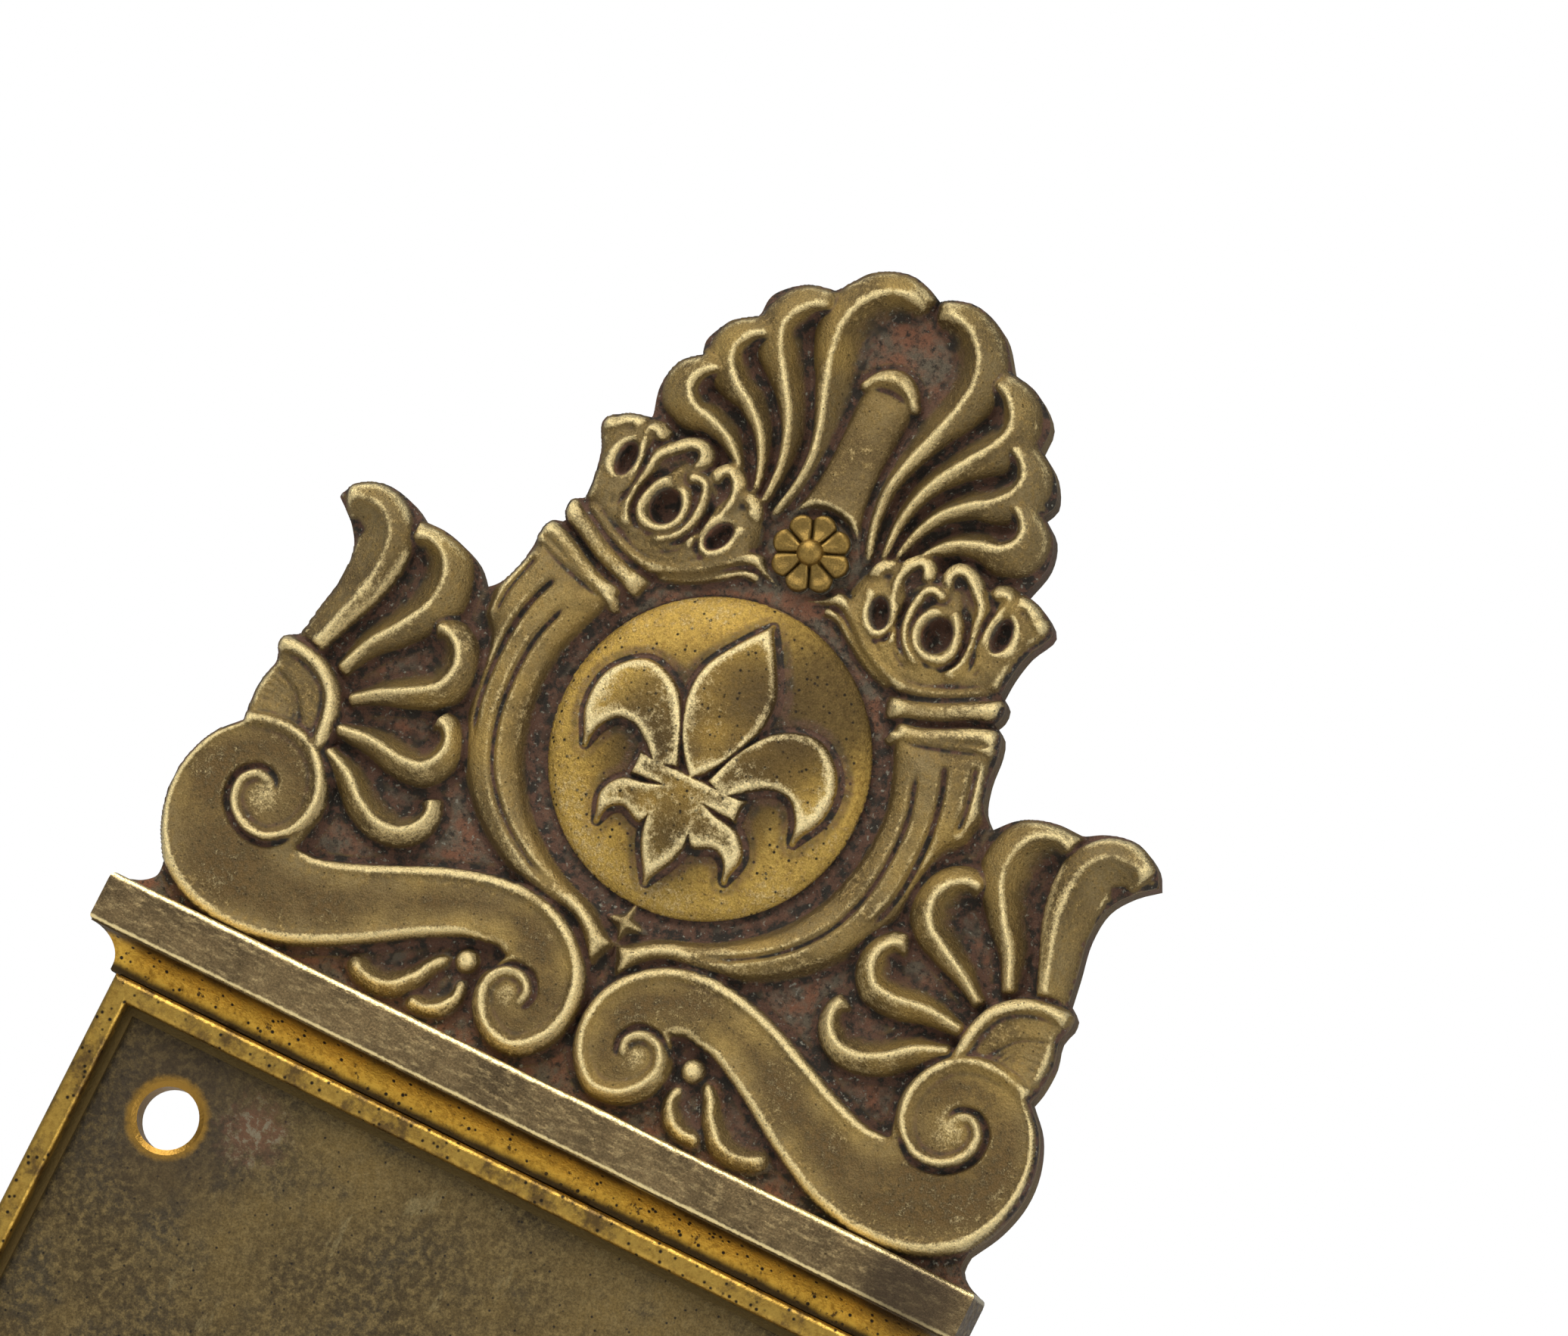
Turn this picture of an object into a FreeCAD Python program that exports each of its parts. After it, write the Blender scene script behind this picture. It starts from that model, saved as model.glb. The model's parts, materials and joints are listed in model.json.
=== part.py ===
"""Vertical letter plate in cast brass: a framed plate with a side-hung, spring-closed flap,
a cast crest with a domed roundel above it and a small cast foot below it.

Row frame: X to the right, Z up, the front faces -Y and the plate's back lies on the door at
Y = 0. The origin is the centre of the four fixing holes. Everything is in millimetres.
Heights are measured forwards from the door, so a height h is the plane Y = -h."""

import FreeCAD, Part
import math
import os

os.makedirs("parts", exist_ok=True)
V = FreeCAD.Vector

# --- driving dimensions -----------------------------------------------------------------
HOLE_R = 2.85                # clearance hole for a No. 10 or 12 brass screw
HOLE_X = 29.7                # half the spacing of the holes across the plate
HOLE_Z = 96.25               # half the spacing of the holes up the plate

PANEL_T = 2.6                # height of the flat panel
LEDGE_T = 3.3                # height of the narrow step inside the frame strip
STRIP_T = 5.0                # height of the frame strip
PLATE_HALF_W = 39.4          # outer edge of the frame strip
STRIP_W = 2.1
LEDGE_W = 0.7
PLATE_HALF_H = 105.75

CORNICE_HALF_W = 43.5
CORNICE_LOW = 109.15         # lower edge of the cornice face
CORNICE_TOP = 113.75
CORNICE_T = 6.4
COVE_LOW = 106.15            # foot of the cove, just above the frame strip
COVE_INSET = 3.1             # how far the cove runs back, at the front and at the ends

CREST_GROUND = 3.2           # height of the flat ground behind the ornament
DISC_Z = 146.05              # height of the roundel's centre above the origin
ROUNDEL_R = 14.6
ROUNDEL_CROWN = 7.2
SEAT_R = 6.2                 # boss under the dome, that the roundel's foot sits on
SEAT_TOP = 4.0
GROOVE_R = 16.4              # outer edge of the groove round the roundel
ROSETTE_Z = DISC_Z + 20.3
ROSETTE_R = 3.7
PENDANT_Z = -119.3           # centre of the small rosette on the foot
PENDANT_R = 2.9

SLOT_LEFT = -25.5            # letter slot through the plate
SLOT_RIGHT = 22.0
SLOT_HALF_H = 72.6
SLOT_CORNER_R = 1.5

HINGE_X = -19.8              # hinge axis, in the plane of the plate's back
FLAP_T = 2.2
FLAP_BACK = 3.1              # height of the flap's back, clear of the panel
FLAP_FRONT = FLAP_BACK + FLAP_T
FLAP_RIGHT = 25.0
FLAP_HALF_H = 75.0
BARREL_HALF_H = 72.0         # the flap's rolled edge is shorter than the slot
FLAP_NOTCH = 4.6             # corner notch that lets the overlap clear the panel
KNUCKLE_R = 2.5
KNUCKLES = ((58.0, 72.0), (12.0, 26.0), (-26.0, -12.0), (-72.0, -58.0))
LIP_R = 1.7

PIN_R = 1.25
PIN_PLAY = 0.05
LUG_LENGTH = 6.5
LUG_R = 3.3
LUG_END = SLOT_HALF_H + LUG_LENGTH
PIN_HEAD_TOP = LUG_END + 1.9
PIN_END = LUG_END + 3.4
PIN_HEAD_R = 1.6
PIN_THREAD_R = 0.9            # turned-down lower end of the pin
PIN_WAY_R = 1.7              # groove in the plate's back, down which the pin is slid
NUT_T = 2.0
NUT_WASHER_T = 0.5
THRUST_WASHER_T = 0.3

SPRING_WIRE_R = 0.35
SPRING_COIL_R = 2.0
SPRING_PITCH = 0.85
SPRING_TURNS = 9.0
SPRING_LEG = 5.6
SPRING_TOP = 0.5 * SPRING_PITCH * SPRING_TURNS
CATCH_X = HINGE_X + 5.0      # eye on the flap that takes the spring's free leg
CATCH_R = 1.1

PAD_PLACES = ((23.0, 60.0), (23.0, 0.0), (23.0, -60.0))
PAD_R = 2.5
PAD_PROUD = 0.2              # how far the leather pads stand out of the flap's back
PAD_DEPTH = 0.9

TONGUE_T = 2.0               # tongues of the plate that lie in rebates behind both castings
TONGUE_HALF_W = 34.0
TONGUE_END = 114.6
JOIN_SCREW_XS = (-26.0, 0.0, 26.0)
JOIN_SCREW_Z = 111.0
DOWEL_XS = (-13.0, 13.0)
DOWEL_R = 1.0
SEAT_GAP = 0.05              # fitting gap between castings on the same body


# --- helpers ----------------------------------------------------------------------------
def spline(points):
    """Smooth edge through (x, z) points, drawn in the door's plane."""
    curve = Part.BSplineCurve()
    curve.interpolate([V(x, 0, z) for x, z in points])
    return curve


def edge(points):
    if len(points) == 2:
        (x0, z0), (x1, z1) = points
        return Part.makeLine(V(x0, 0, z0), V(x1, 0, z1))
    return spline(points).toShape()


def raised(runs, top, base=0.0):
    """Solid between heights base and top. Each run is a straight or smooth edge, and the
    runs follow one another round the outline."""
    face = Part.Face(Part.Wire([edge(run) for run in runs]))
    face.translate(V(0, -base, 0))
    return face.extrude(V(0, base - top, 0))


def ribbon(points, width, top, base=0.0, tip=None):
    """Raised band of the given width along a smooth line, narrowing to tip at its far end."""
    tip = width if tip is None else tip
    line = spline(points)
    first, last = line.FirstParameter, line.LastParameter
    count = 2 * len(points)
    left, right = [], []
    for i in range(count + 1):
        share = i / count
        at = line.value(first + share * (last - first))
        along = line.tangent(first + share * (last - first))[0]
        half = 0.5 * (width + share * (tip - width))
        left.append((at.x - along.z * half, at.z + along.x * half))
        right.append((at.x + along.z * half, at.z - along.x * half))
    right.reverse()
    return raised([left, [left[-1], right[0]], right, [right[-1], left[0]]], top, base)


def box(x0, x1, z0, z1, low, high):
    """Block between heights low and high."""
    return Part.makeBox(x1 - x0, high - low, z1 - z0, V(x0, -high, z0))


def stud(x, z, radius, low, high):
    """Round bar standing out of the door's plane between two heights."""
    return Part.makeCylinder(radius, high - low, V(x, -low, z), V(0, -1, 0))


def upright(x, z0, z1, radius, height=0.0):
    """Round bar parallel to the hinge axis."""
    return Part.makeCylinder(radius, z1 - z0, V(x, -height, z0), V(0, 0, 1))


def mirrored(shape):
    return shape.mirror(V(0, 0, 0), V(1, 0, 0))


def both_sides(shapes):
    return list(shapes) + [mirrored(s) for s in shapes]


def up(points, dz=DISC_Z):
    """Points given from the roundel's centre, moved into the row frame."""
    return [(x, z + dz) for x, z in points]


def joined(shape, others):
    return shape.multiFuse(list(others)).removeSplitter()


def cut(shape, others):
    return shape.cut(list(others))


def hex_nut(x, z, flats, low, high, bore):
    corner = flats / math.sqrt(3.0)
    points = [V(x + corner * math.cos(math.radians(60 * i)), -low,
                z + corner * math.sin(math.radians(60 * i))) for i in range(7)]
    body = Part.Face(Part.makePolygon(points)).extrude(V(0, low - high, 0))
    return body.cut(stud(x, z, bore, low - 1, high + 1))


def save(name, shape):
    solids = shape.Solids
    result = solids[0] if len(solids) == 1 else Part.makeCompound(solids)
    result.exportStep("parts/" + name + ".step")
    print(name, len(solids), "solid(s)", round(result.Volume, 1), "mm3", result.isValid())


# --- framed plate -----------------------------------------------------------------------
def ring(outer_w, outer_h, width, low, high):
    inner_w, inner_h = outer_w - width, outer_h - width
    return box(-outer_w, outer_w, -outer_h, outer_h, low, high).cut(
        box(-inner_w, inner_w, -inner_h, inner_h, low - 1, high + 1))


def fixing_holes():
    holes = []
    for x in (-HOLE_X, HOLE_X):
        for z in (-HOLE_Z, HOLE_Z):
            holes.append(stud(x, z, HOLE_R, -1, PANEL_T + 1))
            rim = Part.makeCone(HOLE_R, HOLE_R + 0.5, 0.25, V(x, 0.25 - PANEL_T, z), V(0, -1, 0))
            holes.append(rim)
    return holes


def slot_cutter():
    cutter = box(SLOT_LEFT, SLOT_RIGHT, -SLOT_HALF_H, SLOT_HALF_H, -1, PANEL_T + 1)
    corners = [e for e in cutter.Edges
               if abs(e.tangentAt(e.FirstParameter).y) > 0.99 and e.CenterOfMass.x > 0]
    return cutter.makeFillet(SLOT_CORNER_R, corners)


def hinge_lug(sign):
    """Bearing behind the plate, with the pin's hole on the plane of the plate's back."""
    z0, z1 = sorted((sign * SLOT_HALF_H, sign * LUG_END))
    block = box(HINGE_X - LUG_R, HINGE_X + LUG_R, z0, z1, -1.6, 0.4)
    return block.fuse(upright(HINGE_X, z0, z1, LUG_R).common(
        box(HINGE_X - 5, HINGE_X + 5, z0, z1, -5, 0.4)))


def front_plate():
    plate = box(-PLATE_HALF_W, PLATE_HALF_W, -PLATE_HALF_H, PLATE_HALF_H, 0, PANEL_T)
    strip = ring(PLATE_HALF_W, PLATE_HALF_H, STRIP_W, PANEL_T, STRIP_T)
    outer = [e for e in strip.Edges if abs(e.CenterOfMass.y + STRIP_T) < 0.01]
    strip = strip.makeFillet(0.55, outer)
    ledge = ring(PLATE_HALF_W - STRIP_W + 0.01, PLATE_HALF_H - STRIP_W + 0.01,
                 LEDGE_W, PANEL_T, LEDGE_T)
    tongues = [box(-TONGUE_HALF_W, TONGUE_HALF_W, z0, z1, 0, TONGUE_T)
               for z0, z1 in ((PLATE_HALF_H - 1, TONGUE_END), (-TONGUE_END, 1 - PLATE_HALF_H))]
    lugs = [hinge_lug(1), hinge_lug(-1)]
    plate = joined(plate, [strip, ledge] + tongues + lugs)
    pin_hole = upright(HINGE_X, -LUG_END - 1, LUG_END + 1, PIN_R)
    pin_ways = [upright(HINGE_X, LUG_END, COVE_LOW, PIN_WAY_R),
                box(HINGE_X - 1.8, HINGE_X + 1.8, COVE_LOW, TONGUE_END + 1, -1, TONGUE_T + 0.1),
                upright(HINGE_X, -LUG_END - 7.5, -LUG_END, PIN_WAY_R)]
    cutters = fixing_holes() + [slot_cutter(), pin_hole] + pin_ways
    for sign in (1, -1):
        cutters += [stud(x, sign * JOIN_SCREW_Z, 1.5, -1, TONGUE_T + 1) for x in JOIN_SCREW_XS]
        cutters += [Part.makeCone(3.0, 1.5, 1.5, V(x, 0, sign * JOIN_SCREW_Z), V(0, -1, 0))
                    for x in JOIN_SCREW_XS]
        cutters += [stud(x, sign * JOIN_SCREW_Z, DOWEL_R, -1, TONGUE_T + 1) for x in DOWEL_XS]
    return cut(plate, cutters)


def join_screws(sign):
    """Countersunk screws from behind, through the tongue into the casting."""
    screws = []
    for x in JOIN_SCREW_XS:
        z = sign * JOIN_SCREW_Z
        head = Part.makeCone(2.9, 1.4, 1.5, V(x, 0, z), V(0, -1, 0))
        slot = box(x - 3, x + 3, z - 0.35, z + 0.35, -1, 0.6)
        screws.append(head.fuse(stud(x, z, 1.4, 1.4, 5.0)).removeSplitter().cut(slot))
    return Part.makeCompound(screws)


def dowels(sign):
    return Part.makeCompound([stud(x, sign * JOIN_SCREW_Z, DOWEL_R, 0.2, 4.4) for x in DOWEL_XS])


# --- cornice, shared by the crest and the foot -------------------------------------------
def cove_profile(across):
    """Closed outline of cornice and cove, seen end-on. across is the reach of the cornice
    face from the profile's back line, which is 0."""
    inset = COVE_INSET
    middle = inset * (1 - math.sqrt(0.5))
    mouth_z = CORNICE_LOW - 0.35
    cove = Part.Arc(V(across, 0, mouth_z),
                    V(across - inset + middle, 0, COVE_LOW + inset * math.sqrt(0.5) - 0.45),
                    V(across - inset, 0, COVE_LOW)).toShape()
    lines = [Part.makeLine(V(across - inset, 0, COVE_LOW), V(0, 0, COVE_LOW)),
             Part.makeLine(V(0, 0, COVE_LOW), V(0, 0, CORNICE_TOP)),
             Part.makeLine(V(0, 0, CORNICE_TOP), V(across, 0, CORNICE_TOP)),
             Part.makeLine(V(across, 0, CORNICE_TOP), V(across, 0, mouth_z))]
    return Part.Face(Part.Wire([cove] + lines))


def cornice():
    """Cornice over a cove, with the moulding returned at both ends."""
    ends = cove_profile(CORNICE_HALF_W)
    ends.translate(V(0, 1, 0))
    half = ends.extrude(V(0, -CORNICE_T - 2, 0))
    across = half.fuse(mirrored(half)).removeSplitter()
    front = cove_profile(CORNICE_T)
    front.rotate(V(0, 0, 0), V(0, 0, 1), -90)
    front.translate(V(-CORNICE_HALF_W - 1, 0, 0))
    along = front.extrude(V(2 * CORNICE_HALF_W + 2, 0, 0))
    return across.common(along)


def rebate():
    """Room behind a casting for the plate's tongue, its screws and its dowels."""
    gap = SEAT_GAP
    cutters = [box(-TONGUE_HALF_W - gap, TONGUE_HALF_W + gap, COVE_LOW - 1, TONGUE_END + gap,
                   -1, TONGUE_T + gap)]
    cutters += [stud(x, JOIN_SCREW_Z, 1.4, 0, 5.0) for x in JOIN_SCREW_XS]
    cutters += [stud(x, JOIN_SCREW_Z, DOWEL_R, 0, 4.4) for x in DOWEL_XS]
    return cutters


# --- crest: right-hand half of the ornament, from the roundel's centre --------------------
FAN_EDGE = [(0, 45.8), (3.3, 46.7), (6.6, 45.6), (8.9, 42.6)]
FAN_LOBE_2 = [(8.9, 42.6), (11.9, 41.9), (14.2, 39.4), (14.1, 37.7)]
FAN_LOBE_3 = [(14.1, 37.7), (16.4, 35.9), (17.6, 33.6), (17.0, 32.4)]
FAN_LOBE_4 = [(17.0, 32.4), (18.7, 30.9), (19.4, 28.6), (18.7, 25.3)]
BUD_EDGE = [(18.7, 25.3), (20.7, 24.6), (22.6, 22.9), (21.3, 20.0), (21.3, 16.4)]
COLLAR_EDGE = [(21.3, 16.4), (21.9, 14.8), (21.7, 13.6)]
HORN_EDGE = [(21.7, 13.6), (23.1, 12.2), (23.8, 8.6), (25.6, 5.1)]
SIDE_LOBE_2 = [(25.6, 5.1), (27.6, 7.0), (30.8, 8.0), (33.2, 8.1)]
SIDE_LEAF = [(33.2, 8.1), (36.6, 9.5), (39.8, 8.7), (41.4, 6.8)]
SIDE_LEAF_UNDER = [(41.4, 6.8), (38.9, 4.6), (37.8, 1.0), (38.2, -2.8), (38.7, -5.8)]
CUP_EDGE = [(38.7, -5.8), (39.9, -7.0), (39.5, -9.2), (40.1, -12.0), (39.8, -15.2)]
VOLUTE_EDGE = [(39.8, -15.2), (42.3, -18.6), (43.1, -22.2), (42.2, -26.6), (40.5, -29.8)]
CREST_FOOT = [(40.5, -29.8), (41.3, -31.3), (43.3, -32.3)]

FAN_RIMS = (
    [(5.0, 22.1), (3.6, 29.0), (5.8, 36.8), (6.4, 41.2), (4.0, 44.1), (1.2, 44.6)],
    [(5.2, 22.5), (6.4, 28.8), (10.3, 35.2), (11.3, 37.6), (10.2, 40.3), (8.1, 40.9)],
    [(7.0, 24.0), (9.8, 28.5), (14.4, 33.0), (14.0, 35.4), (11.8, 36.3)],
    [(9.0, 24.3), (13.0, 27.1), (16.5, 29.2), (15.9, 31.2), (14.0, 31.5)],
)
FAN_VEINS = (
    [(5.8, 25.5), (7.8, 32.0), (9.6, 37.6)],
    [(7.6, 26.3), (10.2, 31.2), (12.9, 34.3)],
    [(9.6, 26.0), (12.0, 28.6), (14.6, 30.0)],
)
BUD_BODY = (
    [(4.9, 17.6), (5.4, 20.2), (9.2, 24.2), (12.9, 25.2), (16.0, 24.2)],
    [(16.0, 24.2), (20.6, 24.4), (22.4, 22.9), (21.2, 19.6), (21.2, 16.6)],
    [(21.2, 16.6), (15.8, 14.4), (11.6, 13.4), (8.0, 14.8), (4.9, 17.6)],
)
BUD_RIMS = (
    [(10.6, 14.6), (8.6, 18.8), (8.4, 22.0), (9.5, 23.8), (10.4, 22.6), (10.3, 19.0), (12.0, 15.8)],
    [(15.6, 16.6), (14.9, 19.6), (12.6, 22.7), (12.7, 24.6), (14.2, 24.2), (16.3, 21.2), (16.8, 17.4)],
    [(11.4, 16.4), (10.6, 19.4), (11.2, 21.6), (13.2, 21.2)],
    [(5.2, 18.0), (6.3, 20.4), (8.2, 21.6), (8.6, 19.9)],
)
COLLARS = (
    [(21.4, 14.7), (17.4, 12.4), (12.6, 11.0)],
    [(21.6, 12.6), (18.0, 10.6), (13.8, 9.4)],
)
HORN_BODY = (
    [(22.4, 12.4), (23.4, 8.4), (24.6, 4.4)],
    [(24.6, 4.4), (22.6, 0.6), (21.9, -4.2), (19.9, -9.4), (14.6, -14.6), (8.0, -17.4), (0.9, -19.6)],
    [(0.9, -19.6), (1.2, -16.9)],
    [(1.2, -16.9), (9.6, -13.6), (15.0, -7.2), (16.6, 0.0), (15.5, 5.6), (13.2, 9.6)],
    [(13.2, 9.6), (22.4, 12.4)],
)
HORN_FLUTES = (
    [(22.0, 9.4), (23.2, 6.2), (23.6, 3.6)],
    [(18.8, 7.8), (20.5, 3.6), (21.2, -1.2), (20.9, -5.4)],
    [(17.9, -4.4), (16.4, -9.4), (12.4, -13.8)],
)
SIDE_RIMS = (
    [(40.2, 7.2), (36.6, 7.9), (34.6, 5.9), (34.5, 2.6), (35.6, -1.6), (36.9, -5.4)],
    [(32.4, 6.8), (29.6, 6.4), (28.1, 3.6), (29.6, -0.6), (33.4, -6.4)],
    [(27.3, 0.5), (24.6, -0.4), (23.8, -3.4), (26.4, -6.5), (31.0, -8.4)],
    [(23.6, -7.2), (21.3, -8.8), (21.7, -11.4), (25.4, -12.2), (31.2, -11.3)],
    [(20.8, -13.6), (20.2, -16.4), (22.6, -18.6), (26.4, -17.2), (31.4, -13.6)],
)
SIDE_VEINS = (
    [(38.4, 6.2), (36.4, 4.4), (36.8, -2.0)],
    [(31.2, 5.2), (30.6, 2.4), (33.4, -3.2)],
    [(26.6, -2.2), (28.2, -4.6), (31.6, -6.6)],
    [(23.8, -9.6), (27.2, -9.8), (31.4, -9.8)],
    [(22.6, -15.8), (26.6, -15.0), (31.6, -12.2)],
)
CUP_BODY = (
    [(39.2, -6.6), (36.3, -7.0), (33.2, -9.2), (32.3, -13.6)],
    [(32.3, -13.6), (36.2, -14.6), (39.6, -14.8)],
    [(39.6, -14.8), (39.7, -11.6), (39.1, -9.0), (39.2, -6.6)],
)
CUP_RIM = [(39.4, -7.1), (36.3, -7.3), (33.4, -9.4), (32.4, -13.8)]
SCROLL_BODY = (
    [(30.8, -23.9), (27.7, -24.3), (21.4, -22.0), (14.0, -19.0), (7.6, -18.4), (2.4, -21.7),
     (1.2, -25.6), (4.5, -30.8), (8.3, -28.9), (8.9, -26.4), (7.2, -23.6)],
    [(7.2, -23.6), (9.6, -22.4), (15.1, -24.3), (23.7, -29.2), (33.4, -31.5), (40.3, -28.3),
     (42.8, -22.2), (40.0, -15.9)],
    [(40.0, -15.9), (36.0, -14.1), (31.8, -15.4), (30.0, -19.4), (31.2, -22.8)],
    [(31.2, -22.8), (30.8, -23.9)],
)
SCROLL_GROOVES = (
    [(31.2, -23.2), (34.4, -24.1), (37.4, -22.0), (37.0, -19.0), (34.6, -18.4)],
    [(8.6, -28.2), (9.4, -26.4), (7.6, -24.4), (4.8, -24.9), (4.5, -27.0)],
)
SCROLL_EDGES = (
    [(29.8, -24.9), (27.2, -24.9), (21.4, -22.7), (14.2, -19.8), (8.2, -19.2), (3.4, -22.2),
     (2.1, -25.6), (4.6, -29.6)],
    [(39.0, -28.2), (33.4, -30.6), (24.2, -28.2), (15.6, -23.4), (10.6, -21.6)],
)
FILLER_LEAVES = (
    [(13.2, -26.6), (15.4, -28.8), (17.6, -30.4), (20.4, -29.9)],
    [(11.4, -27.6), (12.9, -29.9), (14.9, -30.5)],
)
TONGUE_LEAF = (
    [(0, 24.4), (3.9, 25.0), (2.5, 30.0), (2.3, 36.2)],
    [(2.3, 36.2), (1.4, 37.6), (0, 38.0)],
    [(0, 38.0), (0, 24.4)],
)


def crest_outline():
    runs = [FAN_EDGE, FAN_LOBE_2, FAN_LOBE_3, FAN_LOBE_4, BUD_EDGE, COLLAR_EDGE, HORN_EDGE,
            SIDE_LOBE_2, SIDE_LEAF, SIDE_LEAF_UNDER, CUP_EDGE, VOLUTE_EDGE, CREST_FOOT]
    right = [up(run) for run in runs]
    foot = right[-1][-1]
    right += [[foot, (0, foot[1])], [(0, foot[1]), right[0][0]]]
    half = raised(right, CREST_GROUND)
    return half.fuse(mirrored(half)).removeSplitter()


def crest_ornament():
    """Raised work of the right-hand half: leaf rims, veins, buds, horns and scrolls."""
    low = CREST_GROUND - 1.0
    work = [ribbon(up(line), 1.7, 5.3, low) for line in FAN_RIMS]
    work += [ribbon(up(line), 0.9, 4.4, low, 1.5) for line in FAN_VEINS]
    work.append(raised([up(run) for run in BUD_BODY], 4.3, low))
    work += [ribbon(up(line), 0.9, 5.5, low) for line in BUD_RIMS]
    work += [ribbon(up(line), 1.9, 5.0, low) for line in COLLARS]
    horn = raised([up(run) for run in HORN_BODY], 5.3, low)
    work.append(cut(horn, [ribbon(up(line), 0.9, 6.0, 4.4, 0.5) for line in HORN_FLUTES]))
    work += [ribbon(up(line), 1.5, 5.4, low) for line in SIDE_RIMS]
    work += [ribbon(up(line), 1.4, 4.4, low, 0.8) for line in SIDE_VEINS]
    work.append(raised([up(run) for run in CUP_BODY], 4.7, low))
    work.append(ribbon(up(CUP_RIM), 1.0, 5.4, low))
    scroll = raised([up(run) for run in SCROLL_BODY], 5.4, low)
    work.append(cut(scroll, [ribbon(up(line), 0.7, 6.2, 4.2) for line in SCROLL_GROOVES]))
    work += [ribbon(up(line), 0.6, 5.8, low) for line in SCROLL_EDGES]
    work += [ribbon(up(line), 1.3, 4.6, low) for line in FILLER_LEAVES]
    work.append(stud(11.6, DISC_Z - 25.7, 1.2, low, 5.0))
    work.append(raised([up(run) for run in TONGUE_LEAF], 4.6, low))
    return work


def star():
    """Small four-pointed pyramid where the two horns meet."""
    z = DISC_Z - 16.2
    square = Part.makePolygon([V(dx, -2.8, z + dz) for dx, dz in
                               ((1.9, 0), (0, 1.9), (-1.9, 0), (0, -1.9), (1.9, 0))])
    tip = Part.makePolygon([V(dx, -5.6, z + dz) for dx, dz in
                            ((0.1, 0), (0, 0.1), (-0.1, 0), (0, -0.1), (0.1, 0))])
    return Part.makeLoft([square, tip], True, True)


def crest_header():
    body = joined(crest_outline(), both_sides(crest_ornament()) + [star(), cornice()])
    z = DISC_Z
    well = stud(0, z, GROOVE_R, CREST_GROUND, 9.0)
    body = body.cut(well)
    body = body.fuse(stud(0, z, SEAT_R, 1.6, SEAT_TOP)).removeSplitter()
    rosette_well = stud(0, ROSETTE_Z, ROSETTE_R + 0.6, 3.0, 9.0)
    hollows = [stud(0, z, 11.5, -1, 1.6),
               stud(0, z, 5.2, -1, 2.8),
               stud(0, ROSETTE_Z, 5.0, -1, 1.6),
               raised([[(-33, z - 29), (33, z - 29)], [(33, z - 29), (33, z - 17)],
                       [(33, z - 17), (-33, z - 17)], [(-33, z - 17), (-33, z - 29)]], 1.6, -1)]
    bores = [stud(0, z, 2.05, -1, 9.0), stud(0, ROSETTE_Z, 1.3, -1, 9.0)]
    return cut(body, [rosette_well] + hollows + bores + rebate())


# --- roundel and rosettes -----------------------------------------------------------------
LILY_CENTRE = [(0.0, 11.4), (2.9, 6.2), (2.4, 2.0), (0.0, -2.6)]
LILY_LEAF_TOP = [(1.3, -2.0), (4.6, 3.4), (8.2, 4.4), (10.6, 1.6), (9.4, -3.0)]
LILY_LEAF_UNDER = [(9.4, -3.0), (8.6, -0.2), (7.0, 0.9), (4.9, -0.5), (3.2, -2.9)]
LILY_FOOT_TOP = [(1.0, -3.2), (2.6, -5.2), (6.2, -5.8)]
LILY_FOOT_UNDER = [(6.2, -5.8), (3.8, -8.4), (0.8, -7.2)]
LILY_STEM = [(1.7, -3.2), (1.9, -7.4), (0.0, -11.2)]
LILY_RELIEF = 0.9


def lily(low, high):
    """Generic heraldic lily, as overlapping prisms."""
    centre_left = [(-x, z) for x, z in reversed(LILY_CENTRE)]
    stem_left = [(-x, z) for x, z in reversed(LILY_STEM)]
    side = [
        raised([up(LILY_LEAF_TOP), up(LILY_LEAF_UNDER),
                up([LILY_LEAF_UNDER[-1], LILY_LEAF_TOP[0]])], high, low),
        raised([up(LILY_FOOT_TOP), up(LILY_FOOT_UNDER),
                up([LILY_FOOT_UNDER[-1], LILY_FOOT_TOP[0]])], high, low),
    ]
    middle = raised([up(LILY_CENTRE), up(centre_left)], high, low)
    stem = raised([up(LILY_STEM), up(stem_left), up([stem_left[-1], LILY_STEM[0]])], high, low)
    band = box(-4.2, 4.2, DISC_Z - 3.7, DISC_Z - 2.1, low, high)
    return joined(middle, both_sides(side) + [stem, band])


def roundel():
    """Hollow domed disc with a raised lily, on a threaded stub."""
    rise = ROUNDEL_CROWN - LILY_RELIEF - CREST_GROUND
    ball_r = (ROUNDEL_R ** 2 + rise ** 2) / (2 * rise)
    centre = V(0, ball_r - rise - CREST_GROUND, DISC_Z)
    base = stud(0, DISC_Z, ROUNDEL_R, CREST_GROUND, 9.0)
    dome = Part.makeSphere(ball_r, centre).common(base)
    inside = Part.makeSphere(ball_r - 1.6, centre).common(stud(0, DISC_Z, 12.6, CREST_GROUND, 9.0))
    flower = lily(CREST_GROUND + 1.2, ROUNDEL_CROWN + 1.0)
    flower = flower.common(Part.makeSphere(ball_r + LILY_RELIEF, centre))
    flower = flower.cut(Part.makeSphere(ball_r - 0.8, centre))
    stub = stud(0, DISC_Z, 2.0, 0.1, 5.8)
    foot = stud(0, DISC_Z, 4.0, SEAT_TOP, 5.8)
    return joined(dome.cut(inside), [flower, stub, foot])


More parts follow.
